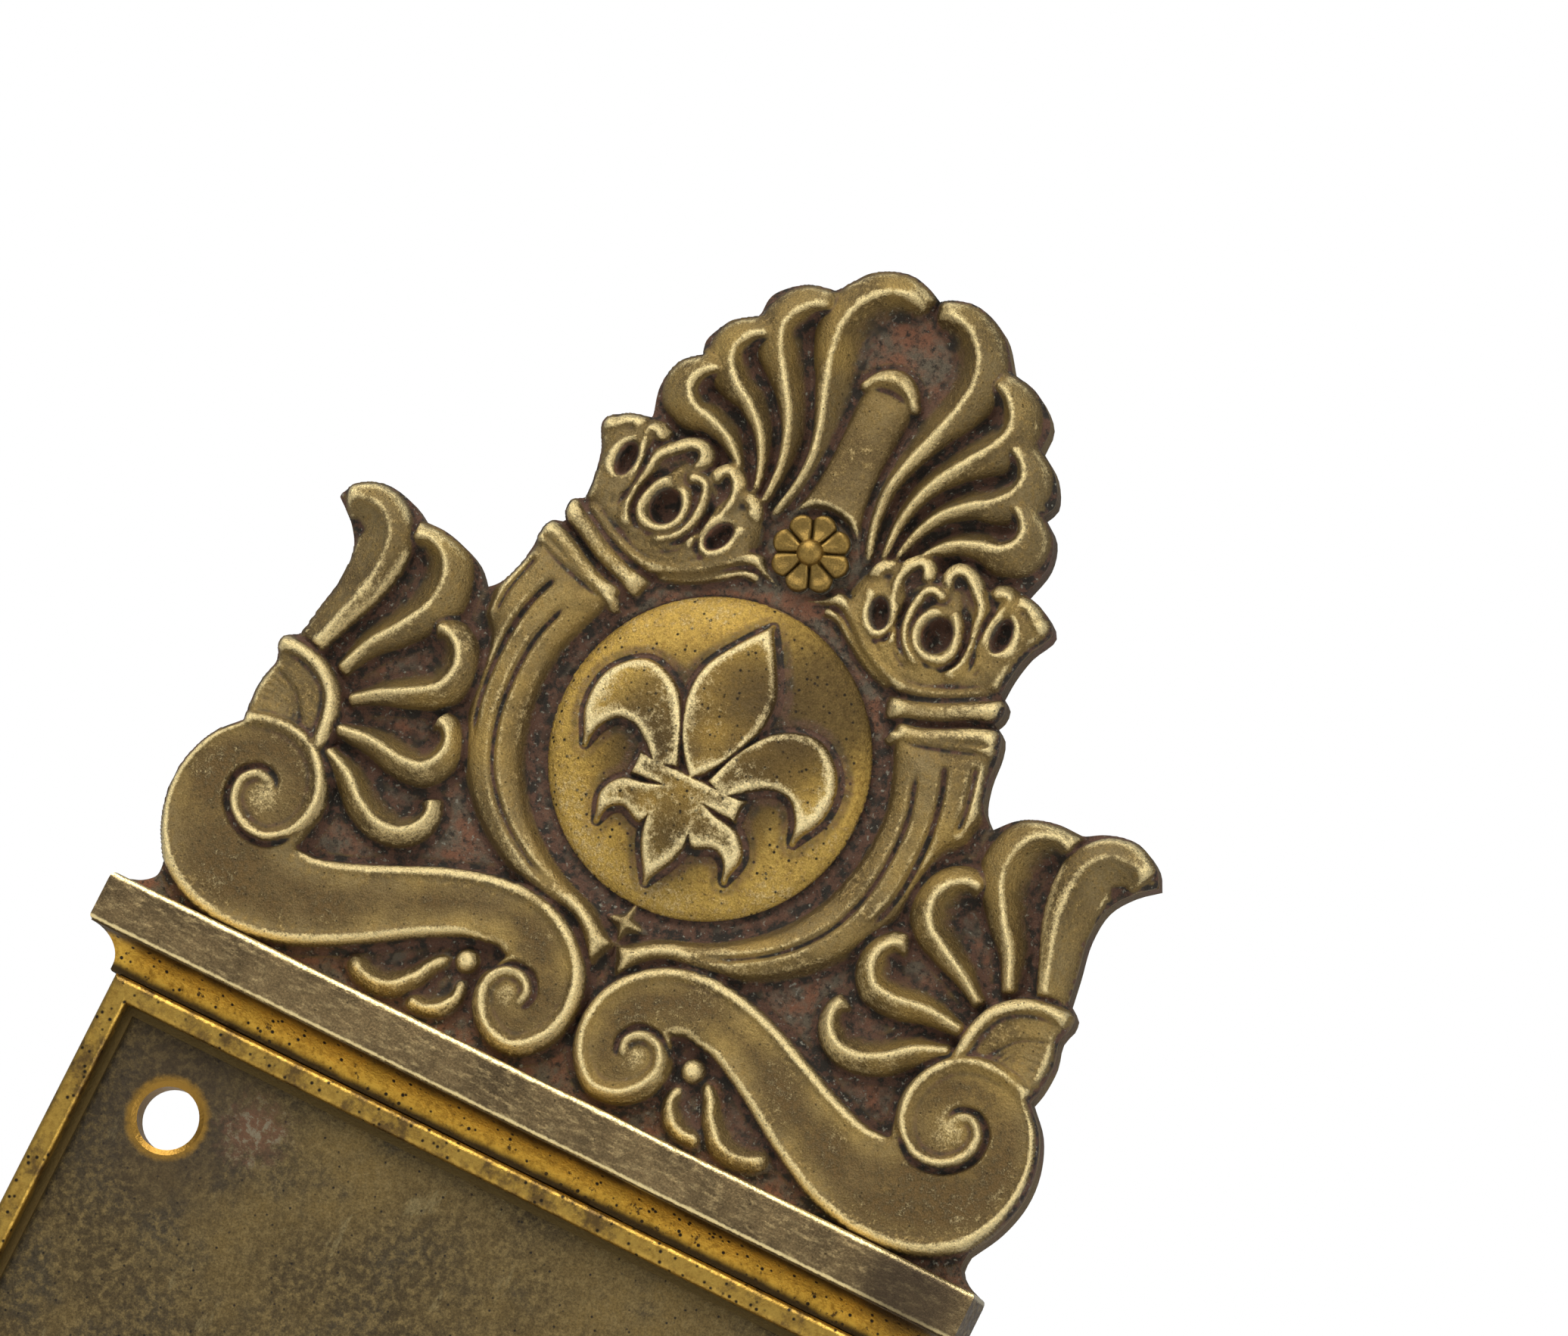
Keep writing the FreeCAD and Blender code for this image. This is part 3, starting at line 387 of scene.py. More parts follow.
def relief_mesh(name, field, outline, back, mirror=False, fixed=None, centre_z=DISC_Z, hung=False):
    """Closed mesh of the field inside the outline, down to the height called back.
    A hung relief has its z counted downward from the origin."""
    nx, nz = len(field.xs), len(field.zs)
    d = signed_distance(field.x, field.z, outline)
    ok = (d > -0.35 * field.step).reshape(nx, nz)
    if fixed is not None:
        ok |= fixed(field).reshape(nx, nz)
    cells = ok[:-1, :-1] & ok[1:, :-1] & ok[:-1, 1:] & ok[1:, 1:]
    i, j = np.nonzero(cells)
    index = np.arange(nx * nz).reshape(nx, nz)
    quads = np.stack([index[i, j], index[i + 1, j], index[i + 1, j + 1], index[i, j + 1]], axis=1)
    used, flat = np.unique(quads.ravel(), return_inverse=True)
    quads = flat.reshape(quads.shape)
    x, z, h = field.x[used].copy(), field.z[used].copy(), field.h[used].copy()
    sides = np.concatenate([quads[:, [k, (k + 1) % 4]] for k in range(4)])
    directed = dict.fromkeys((int(a), int(b)) for a, b in sides)
    rim = [(a, b) for a, b in directed if (b, a) not in directed]
    edge_ids = np.array(sorted({a for a, b in rim}))
    closed = np.vstack([outline, outline[:1]])
    loose = edge_ids
    if fixed is not None:
        held = fixed(field)[used]
        loose = edge_ids[~held[edge_ids]]
    px, pz = x[loose], z[loose]
    a, b = closed[:-1], closed[1:]
    ab = b - a
    t = np.clip(((px[:, None] - a[:, 0]) * ab[:, 0] + (pz[:, None] - a[:, 1]) * ab[:, 1])
                / ((ab ** 2).sum(axis=1) + 1e-12), 0, 1)
    gap = np.hypot(px[:, None] - a[:, 0] - t * ab[:, 0], pz[:, None] - a[:, 1] - t * ab[:, 1])
    best = np.argmin(gap, axis=1)
    row = np.arange(len(best))
    x[loose] = a[best, 0] + t[row, best] * ab[best, 0]
    z[loose] = a[best, 1] + t[row, best] * ab[best, 1]

    crisp, middling, broad = ((field.h - field.blurred(field.h, reach))[used] for reach in LIFT_REACH)
    worn = np.clip(crisp * 3.6 + middling * 1.3 + broad * 0.16 - 0.38 + field.polish[used], 0, 1)
    dirt = np.clip(-crisp * 5.0 - broad * 0.48 - 0.08 + field.grime[used], 0, 1)
    earth, dull = field.earth[used], field.dull[used]

    flip = -1.0 if mirror else 1.0
    z = -z - 2 * centre_z if hung else z
    bm = bmesh.new()
    front = [bm.verts.new((flip * u * MM, -v * MM, (w + centre_z) * MM)) for u, v, w in zip(x, h, z)]
    for q in quads:
        bm.faces.new([front[k] for k in (q if not mirror else q[::-1])])
    loops = ordered_loops(rim)
    for loop in loops:
        low = [bm.verts.new((flip * x[k] * MM, -back * MM, (z[k] + centre_z) * MM)) for k in loop]
        for k in range(len(loop)):
            n = (k + 1) % len(loop)
            wall = [front[loop[n]], front[loop[k]], low[k], low[n]]
            bm.faces.new(wall if not mirror else wall[::-1])
        fill_loop(bm, [low])
    bm.normal_update()
    piece = solid(name, bm, None, 58)
    mesh = piece.data
    for label, values, side_value in (("worn", worn, 0.0), ("dirt", dirt, 0.25),
                                      ("earth", earth, 0.0), ("dull", dull, 0.0)):
        data = np.full(len(mesh.vertices), side_value, np.float32)
        data[:len(values)] = values
        mesh.attributes.new(label, "FLOAT", "POINT").data.foreach_set("value", data)
    triangles = sum(len(p.vertices) - 2 for p in mesh.polygons)
    print("%s: %d triangles" % (name, triangles))
    return piece


# %% [markdown]
# ## Drawing the crest
#
# The crest is symmetrical, so only its right half is drawn, from the roundel's centre. The
# outline comes first, then each ornament as the line of its highest edge. A leaf rim is
# one line: outside it the metal rolls over to the ground, inside it drops into a hollow.

# %% Outline of the right half
CREST_RUNS = [
    [(0, 45.7), (1.3, 46.3), (3.4, 46.7), (6.4, 45.6), (8.9, 42.6)],
    [(8.9, 42.6), (11.6, 42.0), (14.0, 39.9), (14.2, 37.6)],
    [(14.2, 37.6), (16.4, 36.0), (17.6, 33.6), (17.1, 32.3)],
    [(17.1, 32.3), (18.8, 30.9), (19.5, 28.4), (18.8, 25.3)],
    [(18.8, 25.3), (20.9, 24.7), (22.6, 23.2), (21.5, 20.6), (21.0, 18.2), (20.9, 16.3)],
    [(20.9, 16.3), (21.8, 15.6), (21.9, 14.4), (21.6, 13.7)],
    [(21.6, 13.7), (22.6, 13.0), (23.1, 11.6), (23.4, 8.8), (24.2, 6.4), (25.6, 5.1)],
    [(25.6, 5.1), (27.4, 6.9), (30.4, 8.0), (33.2, 8.1)],
    [(33.2, 8.1), (35.2, 9.2), (38.0, 9.6), (40.4, 8.4), (41.3, 6.9)],
    [(41.3, 6.9), (39.5, 5.4), (38.0, 3.2), (37.7, 0.2), (38.3, -3.2), (38.7, -5.7)],
    [(38.7, -5.7), (39.8, -6.6), (39.9, -7.6)],
    [(39.9, -7.6), (39.5, -9.0), (40.0, -11.2), (39.9, -13.8), (39.6, -15.0)],
    [(39.6, -15.0), (41.6, -17.2), (42.8, -20.2), (43.0, -23.2), (42.2, -26.4), (40.6, -29.4)],
    [(40.6, -29.4), (40.6, -30.8), (41.5, -31.7), (43.0, -32.3)],
]
CREST_LOW, CREST_TOP = -32.3, 45.7
crest_runs = CREST_RUNS + [[(43.0, CREST_LOW), (0, CREST_LOW)], [(0, CREST_LOW), (0, CREST_TOP)]]
crest_outline = outline_of(crest_runs)
edge_line = outline_of(CREST_RUNS)
print("half outline: %d points, %.1f mm wide" % (len(crest_outline), crest_outline[:, 0].max()))

# %% [markdown]
# ### Fan of leaves
#
# The top of the crest is a palmette of seven lobes. Each lobe's rim is a line that climbs
# from the rosette, turns round the tip and stops against its neighbour. The rim is narrow
# at the base and wide at the tip, and a fine cut line runs along the hollow inside it.

# %% Lay the fan
STEP = 0.16
GROUND = 2.9
SLAB = 2.6
crest = Relief((0.0, CREST_LOW), (43.2, 46.9), STEP, GROUND)


def leaf(field, rim, top, out, into, base=GROUND, fade=(0.06, 0.08)):
    """One lobe: a rim with a broad rounded outer flank and a long scooped inner one."""
    field.ridge(rim, top, base, into, out, scoop_fall, lip_fall, fade=fade)


FAN_TOP = (4.3, 5.1, 5.5, 5.5, 5.4)
fan = [
    ([(4.9, 21.6), (3.95, 25.4), (3.8, 28.4), (4.35, 31.2), (5.4, 34.5), (6.3, 37.8), (6.5, 40.2),
      (5.8, 42.5), (4.1, 44.2), (2.0, 44.7), (0.3, 44.2)],
     (0.4, 0.6, 0.9, 1.6, 2.9, 2.7, 2.4), (0.7, 1.3, 2.0, 2.6, 2.8, 2.6, 1.5)),
    ([(6.1, 22.0), (5.95, 25.5), (6.4, 28.2), (7.4, 30.8), (9.1, 33.5), (10.8, 36.2), (11.25, 37.7),
      (10.8, 39.2), (9.5, 40.5), (8.0, 40.9), (7.4, 40.7)],
     (0.4, 0.6, 0.9, 1.5, 2.9, 2.6, 2.0), (0.6, 1.1, 1.9, 2.5, 2.6, 2.0, 1.2)),
    ([(7.1, 22.6), (7.3, 24.2), (8.0, 26.4), (9.2, 28.4), (11.0, 30.1), (12.9, 31.4), (14.1, 32.9),
      (14.3, 34.3), (13.4, 35.7), (11.9, 36.3), (11.2, 36.1)],
     (0.4, 0.6, 0.9, 1.4, 2.9, 2.6, 1.8), (0.6, 1.0, 1.8, 2.3, 2.3, 1.8, 1.0)),
    ([(8.6, 23.0), (9.1, 24.2), (10.0, 25.4), (11.5, 26.6), (13.5, 27.4), (15.4, 27.9), (16.4, 29.1),
      (16.2, 30.5), (14.8, 31.6), (13.9, 31.6)],
     (0.5, 0.9, 1.3, 1.9, 3.0, 2.8, 1.8), (0.5, 0.9, 1.7, 2.1, 1.9, 1.5, 0.9)),
]
for rim, out_flank, in_flank in reversed(fan):
    leaf(crest, rim, FAN_TOP, out_flank, in_flank)

tongue_side = smooth_line([(3.5, 21.5), (2.9, 24.4), (2.5, 28.0), (2.4, 32.0), (2.3, 36.6)])
tongue = np.vstack([tongue_side, tongue_side[::-1] * (-1, 1)])
crest.plateau(tongue, 3.35, GROUND, 0.5, bell_fall, crown=0.85, crown_width=2.4)
hood = outline_of([[(-2.5, 36.0), (-1.5, 37.5), (0, 38.1), (1.5, 37.5), (2.5, 36.0)],
                   [(2.5, 36.0), (1.2, 36.7), (0, 36.9), (-1.2, 36.7), (-2.5, 36.0)]])
crest.plateau(hood, 4.3, 3.3, 0.5, crown=0.5, crown_width=0.7)
vein_ends = ([(2.9, 23.0), (2.6, 27.0), (2.6, 31.0), (3.1, 35.5)],
             [(4.9, 24.6), (5.1, 29.0), (6.3, 33.4), (8.0, 37.8)],
             [(6.7, 25.4), (8.2, 29.2), (10.6, 32.4), (12.2, 34.2)],
             [(8.3, 25.0), (10.2, 27.6), (13.0, 29.0), (14.6, 29.8)])
for line in vein_ends:
    crest.groove(line, 0.22, 0.22, fade=(0.2, 0.4))

# %% [markdown]
# ### Buds, collars and horns
#
# Two horns of plenty curve round the roundel. Each ends above in a pair of turned collars
# and an opened bud, whose petals are low swellings, parted by cut gaps, round small hollows.

# %% Lay a bud, its collars and its horn
bud = outline_of([
    [(4.9, 17.2), (5.3, 19.8), (6.4, 21.9), (8.3, 22.9), (9.6, 24.1), (10.8, 22.2)],
    [(10.8, 22.2), (12.2, 23.2), (12.9, 24.8), (15.2, 23.6), (16.6, 23.2), (17.4, 24.4), (18.9, 25.0)],
    [(18.9, 25.0), (20.8, 24.5), (22.7, 23.2), (21.9, 20.9), (21.4, 18.6), (21.0, 16.4)],
    [(21.0, 16.4), (17.4, 14.7), (13.4, 13.2), (9.4, 13.6), (6.8, 15.2), (4.9, 17.2)],
])
crest.plateau(bud, 3.6, GROUND, 0.6, crown=1.2, crown_width=3.4)


def oval(cx, cz, rx, rz, turn=0.0, count=40):
    """Closed outline of an ellipse, turned by an angle in degrees."""
    t = np.linspace(0, 2 * math.pi, count, endpoint=False)
    c, s = math.cos(math.radians(turn)), math.sin(math.radians(turn))
    u, v = rx * np.cos(t), rz * np.sin(t)
    return np.stack([cx + c * u - s * v, cz + s * u + c * v], axis=1)


bud_hollows = (
    ([[(9.0, 20.6), (8.8, 22.2), (9.6, 23.2), (10.4, 22.4), (10.4, 19.4), (11.2, 17.0), (12.4, 15.4),
       (10.4, 17.4), (9.0, 20.6)]], 4.15, 0.7),
    ([[(11.4, 21.3), (12.4, 21.2), (11.9, 20.0), (11.5, 18.4), (12.0, 16.9), (11.2, 17.9), (10.9, 19.6),
       (11.4, 21.3)]], 4.3, 0.5),
    ([[(12.8, 23.2), (13.3, 24.1), (14.8, 23.0), (16.1, 21.4), (16.5, 18.4), (16.2, 16.4), (15.9, 18.0),
       (15.2, 20.6), (13.9, 21.9), (12.8, 23.2)]], 4.2, 0.8),
)
for runs, floor_height, soft in bud_hollows:
    crest.sink(outline_of(runs), floor_height, soft)
bud_rims = (
    [(11.4, 15.0), (10.1, 16.9), (9.3, 18.6), (8.6, 20.2), (8.4, 21.8), (8.9, 23.1), (9.8, 23.7),
     (10.5, 23.0), (10.7, 21.9)],
    [(13.9, 21.3), (12.9, 22.4), (12.5, 23.5), (12.9, 24.4), (13.9, 24.4), (15.2, 23.4), (16.2, 22.3),
     (16.7, 20.4), (17.0, 18.4), (16.7, 16.6), (15.6, 15.2)],
    [(14.6, 15.4), (12.8, 15.7), (11.4, 16.8), (10.75, 18.6), (10.75, 20.4), (11.1, 21.6), (12.1, 21.9),
     (13.2, 21.3)],
    [(13.8, 21.2), (12.7, 20.4), (11.95, 19.3), (11.85, 18.0), (12.4, 16.9), (13.6, 16.3), (15.0, 16.5),
     (15.7, 17.5), (15.5, 18.9), (14.9, 20.2), (13.9, 21.3)],
    [(6.6, 20.5), (6.5, 21.5), (7.3, 22.1), (8.4, 21.6)],
    [(6.6, 20.4), (7.8, 20.0), (8.9, 19.2), (9.5, 18.1), (9.3, 17.0), (8.4, 16.4), (7.4, 17.0),
     (6.9, 18.2), (6.5, 20.3)],
    [(17.2, 17.4), (17.5, 19.4), (17.6, 21.4), (18.1, 22.9), (18.2, 24.1), (17.2, 24.3), (16.7, 23.4)],
    [(18.9, 17.6), (18.7, 18.9), (19.9, 19.4), (20.3, 20.8), (19.8, 22.2), (19.1, 23.0), (19.3, 24.1),
     (20.4, 23.8), (21.2, 23.1), (22.5, 23.1)],
)
for line, height in zip(bud_rims, (5.25, 5.3, 5.4, 5.55, 4.8, 4.95, 5.0, 4.9)):
    crest.ridge(line, height, 3.9, 1.0, 1.0, lip_fall, bell_fall, melt=0.35, fade=(0.2, 0.08))
petal_gaps = ([(10.9, 22.4), (10.2, 20.6), (10.1, 18.6), (10.9, 16.5), (12.4, 15.2)],
              [(14.4, 21.8), (15.8, 20.4), (16.4, 18.4), (16.1, 16.6), (15.0, 15.5)],
              [(17.5, 23.2), (17.1, 21.0), (17.3, 18.6), (17.9, 16.4)],
              [(9.9, 20.6), (9.9, 18.2), (9.5, 16.2), (8.4, 15.6)])
for line in petal_gaps:
    crest.groove(line, 0.6, 0.42, fade=(0.15, 0.2))
bud_holes = [oval(13.7, 18.5, 1.6, 1.9), oval(8.1, 18.1, 1.15, 1.75, 24), oval(18.9, 20.9, 1.1, 1.85)]
for hole in bud_holes:
    crest.sink(hole, 3.1, 0.8)
calyx = (([(0.8, 17.0), (2.6, 17.6), (4.6, 17.7), (6.4, 16.7), (8.4, 15.0), (10.6, 13.9), (13.4, 13.3),
           (16.8, 14.3), (20.9, 16.5)], 4.5, 0.6, 0.9),
         ([(3.0, 16.4), (4.8, 16.2), (6.8, 14.9), (9.2, 13.5), (12.0, 12.6)], 3.9, 0.45, 0.5))
for line, height, left, right in calyx:
    crest.ridge(line, height, GROUND, left, right, round_fall, round_fall, fade=(0.1, 0.1))
for line in ([(10.2, 16.6), (11.0, 15.4), (12.6, 14.4)], [(16.2, 15.6), (16.9, 16.6), (17.3, 18.2)],
             [(18.2, 16.4), (18.5, 17.6)], [(8.4, 15.9), (9.8, 14.9)]):
    crest.groove(line, 0.35, 0.3, fade=(0.2, 0.2))
collars = (([(21.9, 14.9), (19.6, 13.9), (17.0, 12.5), (14.4, 11.5), (12.0, 10.9)], 4.9, 1.15),
           ([(22.8, 12.3), (20.6, 11.6), (18.2, 10.4), (15.8, 9.5), (13.6, 9.2)], 5.2, 1.2))
for line, height, flank in collars:
    crest.ridge(line, height, GROUND, flank, flank, round_fall, round_fall, fade=(0.0, 0.15))

horn = outline_of([
    [(22.6, 11.4), (23.4, 8.6), (24.2, 5.8), (24.0, 3.2)],
    [(24.0, 3.2), (22.6, 1.2), (21.9, -2.2), (21.2, -5.8), (19.6, -9.6), (16.6, -13.2), (12.4, -16.0),
     (8.0, -17.5), (4.4, -18.0), (1.4, -20.8)],
    [(1.4, -20.8), (0.4, -18.6)],
    [(0.4, -18.6), (3.6, -16.6), (8.4, -14.6), (12.6, -11.4), (15.4, -7.0), (16.7, -2.0), (16.7, 2.6),
     (15.6, 6.0), (14.0, 9.0)],
    [(14.0, 9.0), (18.0, 10.0), (22.6, 11.4)],
])
crest.plateau(horn, 3.6, GROUND, 0.5, crown=1.7, crown_width=3.2)
horn_mouth = [(14.2, 8.7), (16.6, 9.2), (19.4, 10.0), (22.6, 11.1)]
crest.ridge(horn_mouth, 5.1, 3.6, 0.6, 0.9, round_fall, scoop_fall)
flutes = (
    ([(22.2, 9.4), (22.8, 7.2), (23.2, 5.0), (23.2, 3.2)], 0.6, 0.42),
    ([(19.6, 8.5), (20.6, 5.8), (21.2, 2.6), (21.3, -1.2), (20.9, -4.8), (19.9, -7.8)], 0.75, 0.5),
    ([(17.6, 6.8), (18.8, 2.8), (19.0, -1.6), (18.4, -5.8), (16.8, -9.6), (14.0, -12.8), (10.4, -15.2),
      (6.6, -16.7)],
     0.65, 0.45),
)
for line, depth, width in flutes:
    crest.groove(line, depth, width, fade=(0.05, 0.12))

# %% [markdown]
# ### Side palmettes and cups
#
# A half palmette fills each shoulder. Its leaves overlap like feathers, from the tall
# curled leaf at the outside down to the lowest one, and they spring from a fluted cup.

# %% Lay the side palmette
SIDE_TOP = (5.0, 5.5, 5.5, 5.4, 5.0)
side_leaves = [
    ([(40.4, 7.0), (38.6, 7.6), (36.6, 7.3), (35.2, 5.9), (34.7, 3.8), (34.9, 0.6), (35.9, -3.0),
      (36.9, -6.4)],
     (1.8, 2.0, 2.1, 1.7, 1.3, 0.9), (1.6, 2.6, 3.2, 3.0, 2.6, 2.0)),
    ([(33.3, 6.4), (31.6, 6.8), (29.8, 6.0), (28.8, 4.2), (28.9, 1.6), (30.4, -1.2), (32.4, -4.0),
      (33.9, -7.4)],
     (1.3, 1.8, 2.2, 1.6, 1.1, 0.7), (1.5, 2.3, 2.4, 2.0, 1.6, 0.8)),
    ([(27.6, 0.0), (25.9, -0.2), (24.6, -1.3), (24.2, -3.0), (24.9, -4.8), (26.8, -6.1), (29.4, -7.5),
      (32.0, -9.3)],
     (1.2, 1.6, 1.8, 1.4, 1.0, 0.6), (1.2, 2.0, 2.1, 1.7, 1.3, 0.7)),
    ([(23.8, -7.4), (22.5, -7.9), (21.8, -9.0), (21.9, -10.4), (22.9, -11.7), (24.8, -12.0),
      (28.0, -11.6), (31.8, -11.9)],
     (1.0, 1.4, 1.6, 1.5, 1.2, 0.8), (1.0, 1.6, 1.8, 1.6, 1.3, 0.7)),
    ([(21.0, -14.0), (20.5, -15.2), (20.8, -16.6), (22.1, -17.8), (24.0, -18.0), (26.2, -17.1),
      (28.6, -15.2), (31.6, -13.9)],
     (0.8, 1.2, 1.4, 1.5, 1.5, 1.2), (1.0, 1.6, 1.9, 1.7, 1.4, 0.8)),
]
for rim, out_flank, in_flank in reversed(side_leaves):
    tallest = rim is side_leaves[0][0]
    fuller = 1.0 if tallest else 1.25
    leaf(crest, rim, SIDE_TOP, fuller * np.array(out_flank), fuller * np.array(in_flank),
         3.75 if tallest else GROUND, fade=(0.02, 0.03))
cup = outline_of([[(39.8, -6.7), (37.4, -6.9), (34.8, -7.8), (33.2, -9.6), (32.4, -12.0), (32.3, -14.4)],
                  [(32.3, -14.4), (39.7, -15.0)],
                  [(39.7, -15.0), (39.9, -12.0), (39.5, -9.0), (39.8, -6.7)]])
crest.plateau(cup, 4.2, GROUND, 0.6, crown=0.5, crown_width=3.0)
cup_lip = [(39.8, -7.3), (37.2, -7.3), (35.0, -8.1), (33.4, -9.6), (32.6, -11.8), (32.4, -14.4)]
crest.ridge(cup_lip, 5.3, 3.4, 0.9, 0.9, round_fall, round_fall)
for k in range(5):
    crest.groove([(34.6 + 0.7 * k, -13.2 + 0.1 * k), (36.4 + 0.3 * k, -10.9 - 0.35 * k),
                  (39.2, -9.6 - 0.75 * k)], 0.40, 0.32, fade=(0.1, 0.1))

# %% [markdown]
# ### Great scrolls
#
# An S-shaped scroll runs from a large volute at each corner to a small one beside the
# middle. Its face is flat and dull, and only a thin raised edge along it has been polished.
# Two long edge lines follow it, and each winds on into the eye of one volute.

# %% Lay the scroll
scroll = outline_of([
    [(30.9, -23.9), (27.8, -24.2), (24.6, -23.3), (20.6, -21.6), (16.4, -19.8), (12.0, -18.5),
     (7.8, -18.3), (4.4, -19.6), (1.9, -22.2), (1.0, -25.2), (1.6, -28.4), (4.0, -30.7), (6.6, -30.4),
     (8.5, -28.6), (8.9, -26.4), (8.2, -25.2)],
    [(8.2, -25.2), (7.4, -23.4)],
    [(7.4, -23.4), (9.6, -22.4), (12.6, -22.9), (16.4, -24.8), (21.0, -27.6), (26.2, -30.2),
     (31.6, -31.4), (36.6, -30.7), (40.4, -28.2), (42.4, -24.6), (42.7, -20.6), (41.4, -17.0),
     (39.2, -14.9)],
    [(39.2, -14.9), (36.4, -14.0), (33.2, -14.4), (30.9, -16.4), (29.9, -19.2), (30.4, -21.8),
     (30.9, -23.9)],
])
crest.plateau(scroll, 4.75, GROUND, 0.9)
scroll_edges = (
    ([(9.8, -22.4), (12.8, -23.0), (16.8, -25.0), (21.6, -27.9), (26.8, -30.4), (31.8, -31.3),
      (36.6, -30.6), (40.2, -28.2), (42.2, -24.6), (42.5, -20.6), (41.2, -17.0), (38.8, -14.7),
      (35.8, -14.0), (32.8, -14.6), (30.7, -16.8), (30.0, -19.4), (30.8, -22.0), (32.9, -23.6),
      (35.2, -23.4), (36.9, -21.8), (37.1, -19.8), (35.9, -18.7), (34.6, -19.2)],
     (4.9, 5.0, 5.1, 5.2, 5.6, 5.4),
     (1.5, 1.8, 2.0, 2.0, 2.4, 1.2), (0.8, 0.9, 1.0, 0.9, 0.5, 0.4), (0.06, 0.02)),
    ([(31.0, -24.0), (27.8, -24.1), (24.4, -23.1), (20.6, -21.5), (16.4, -19.7), (12.0, -18.5),
      (7.9, -18.4), (4.6, -19.7), (2.1, -22.2), (1.2, -25.2), (1.8, -28.3), (4.1, -30.5), (6.5, -30.2),
      (8.2, -28.6), (8.8, -26.7), (7.9, -25.0), (6.2, -24.7), (5.0, -25.8), (5.4, -27.4)],
     (4.85, 4.95, 5.05, 5.2, 5.6, 5.4),
     (1.2, 1.6, 1.8, 1.8, 2.2, 1.1), (0.9, 0.9, 0.9, 0.8, 0.5, 0.4), (0.08, 0.02)),
)
for line, top, left, right, fade in scroll_edges:
    crest.ridge(line, top, 4.25, left, right, scoop_fall, round_fall, fade=fade)
eye_grooves = (
    ([(30.6, -22.6), (32.6, -24.2), (35.4, -24.0), (37.6, -22.1), (37.8, -19.6), (36.2, -18.1),
      (34.4, -18.5), (33.8, -19.8)],
     (0.35, 0.8, 0.8, 0.5), 0.42),
    ([(9.3, -27.4), (9.1, -25.6), (7.4, -24.1), (5.4, -24.2), (4.3, -25.8), (4.8, -27.6)],
     (0.3, 0.7, 0.7, 0.4), 0.38),
)
for line, depth, width in eye_grooves:
    crest.groove(line, depth, width, fade=(0.06, 0.08))

# %% [markdown]
# ### Small filling ornament
#
# Between the scroll and the cornice a small sprig fills the gap, and a four-pointed star
# stands where the horns meet. They are modest, but the eye misses them if they are absent.

# %% Lay the sprig, the star and the groove round the roundel
leaf(crest, [(12.6, -25.6), (14.0, -27.0), (15.2, -29.0), (17.0, -30.5), (19.4, -30.5), (21.2, -29.2)],
     (4.0, 4.5, 4.2), (0.8, 1.4, 1.3), (1.0, 1.9, 1.8), fade=(0.15, 0.15))
leaf(crest, [(11.2, -27.0), (10.9, -28.8), (12.0, -30.4), (13.8, -30.9), (15.0, -30.5)],
     (3.9, 4.3, 4.0), (0.7, 1.2, 1.1), (1.0, 1.6, 1.5), fade=(0.15, 0.15))
crest.plateau(oval(11.4, -25.6, 0.55, 0.55), 4.5, GROUND, 0.9, bell_fall)

x, z = crest.x, crest.z
axis_gap = np.hypot(x, z)
GROOVE_OUT = 16.5
rim_share = np.clip((axis_gap - DISC_R) / (GROOVE_OUT - DISC_R), 0, 1)
ring_low = GROUND - 0.1 + 1.4 * rim_share ** 3
in_ring = (axis_gap < GROOVE_OUT) & (z < 8.0) | (axis_gap < DISC_R + 0.3)
crest.h = np.where(in_ring, np.minimum(crest.h, ring_low), crest.h)
crest.grime = np.where(in_ring, 0.55, 0.0)
collar_gap = smooth_line([(22.4, 13.6), (20.0, 12.7), (17.6, 11.5), (15.0, 10.5), (12.8, 10.1)])
crest.grime += 0.42 * bell_fall(nearest(x, z, collar_gap)[0] / 1.9)
star = 5.3 - 1.15 * (np.abs(x) ** 0.72 + np.abs(z + 16.4) ** 0.72)
crest.lay(np.nonzero(star > 2.0)[0], star[star > 2.0], 0.05)


def rosette_well(field, centre_z, reach, slope, rise):
    """Round seat, level with the ground, for a rosette on the middle line."""
    gap = np.hypot(field.x, field.z - centre_z)
    level = GROUND + rise * np.clip((gap - reach) / slope, 0, 1)
    field.h = np.where(gap < reach + slope, np.minimum(field.h, level), field.h)


ROSETTE_Z = 20.3
rosette_well(crest, ROSETTE_Z, 3.9, 0.6, 0.9)

# %% [markdown]
# ### Ground, edges and the hand of the founder
#
# Flat ground between ornaments is marked as earth, because it keeps a rough, reddish
# casting skin. A slow undulation and a fine grain stop the surfaces from looking machined.

# %% Finish the crest's field
def earth_share(field, ceiling):
    """Low and nearly level places, where the casting skin has never been touched."""
    level = field.blurred(field.h, 0.4)
    slope = np.abs(field.h - field.blurred(field.h, 0.7))
    return np.clip((ceiling - level) / 0.5, 0, 1) * np.clip(1.2 - slope / 0.35, 0, 1)


crest.earth = earth_share(crest, 3.65)
crest.dull = np.clip((signed_distance(x, z, scroll) - 0.5) / 1.6, 0, 1)
# Painted shade: low places are marked dull too, so the lower flanks of leaves come out darker.
crest.dull = np.maximum(crest.dull, 0.8 * np.clip((4.5 - crest.h) / 1.0, 0, 1))
for eye_x, eye_z, reach in ((34.9, -20.4, 4.4), (6.6, -26.4, 3.6)):
    eye_share = bell_fall(np.hypot(x - eye_x, z - eye_z) / reach)
    crest.dull *= 1 - eye_share
    crest.polish += 0.85 * eye_share
for hole in bud_holes:
    crest.earth = np.maximum(crest.earth, np.clip(signed_distance(x, z, hole) / 0.35, 0, 1))


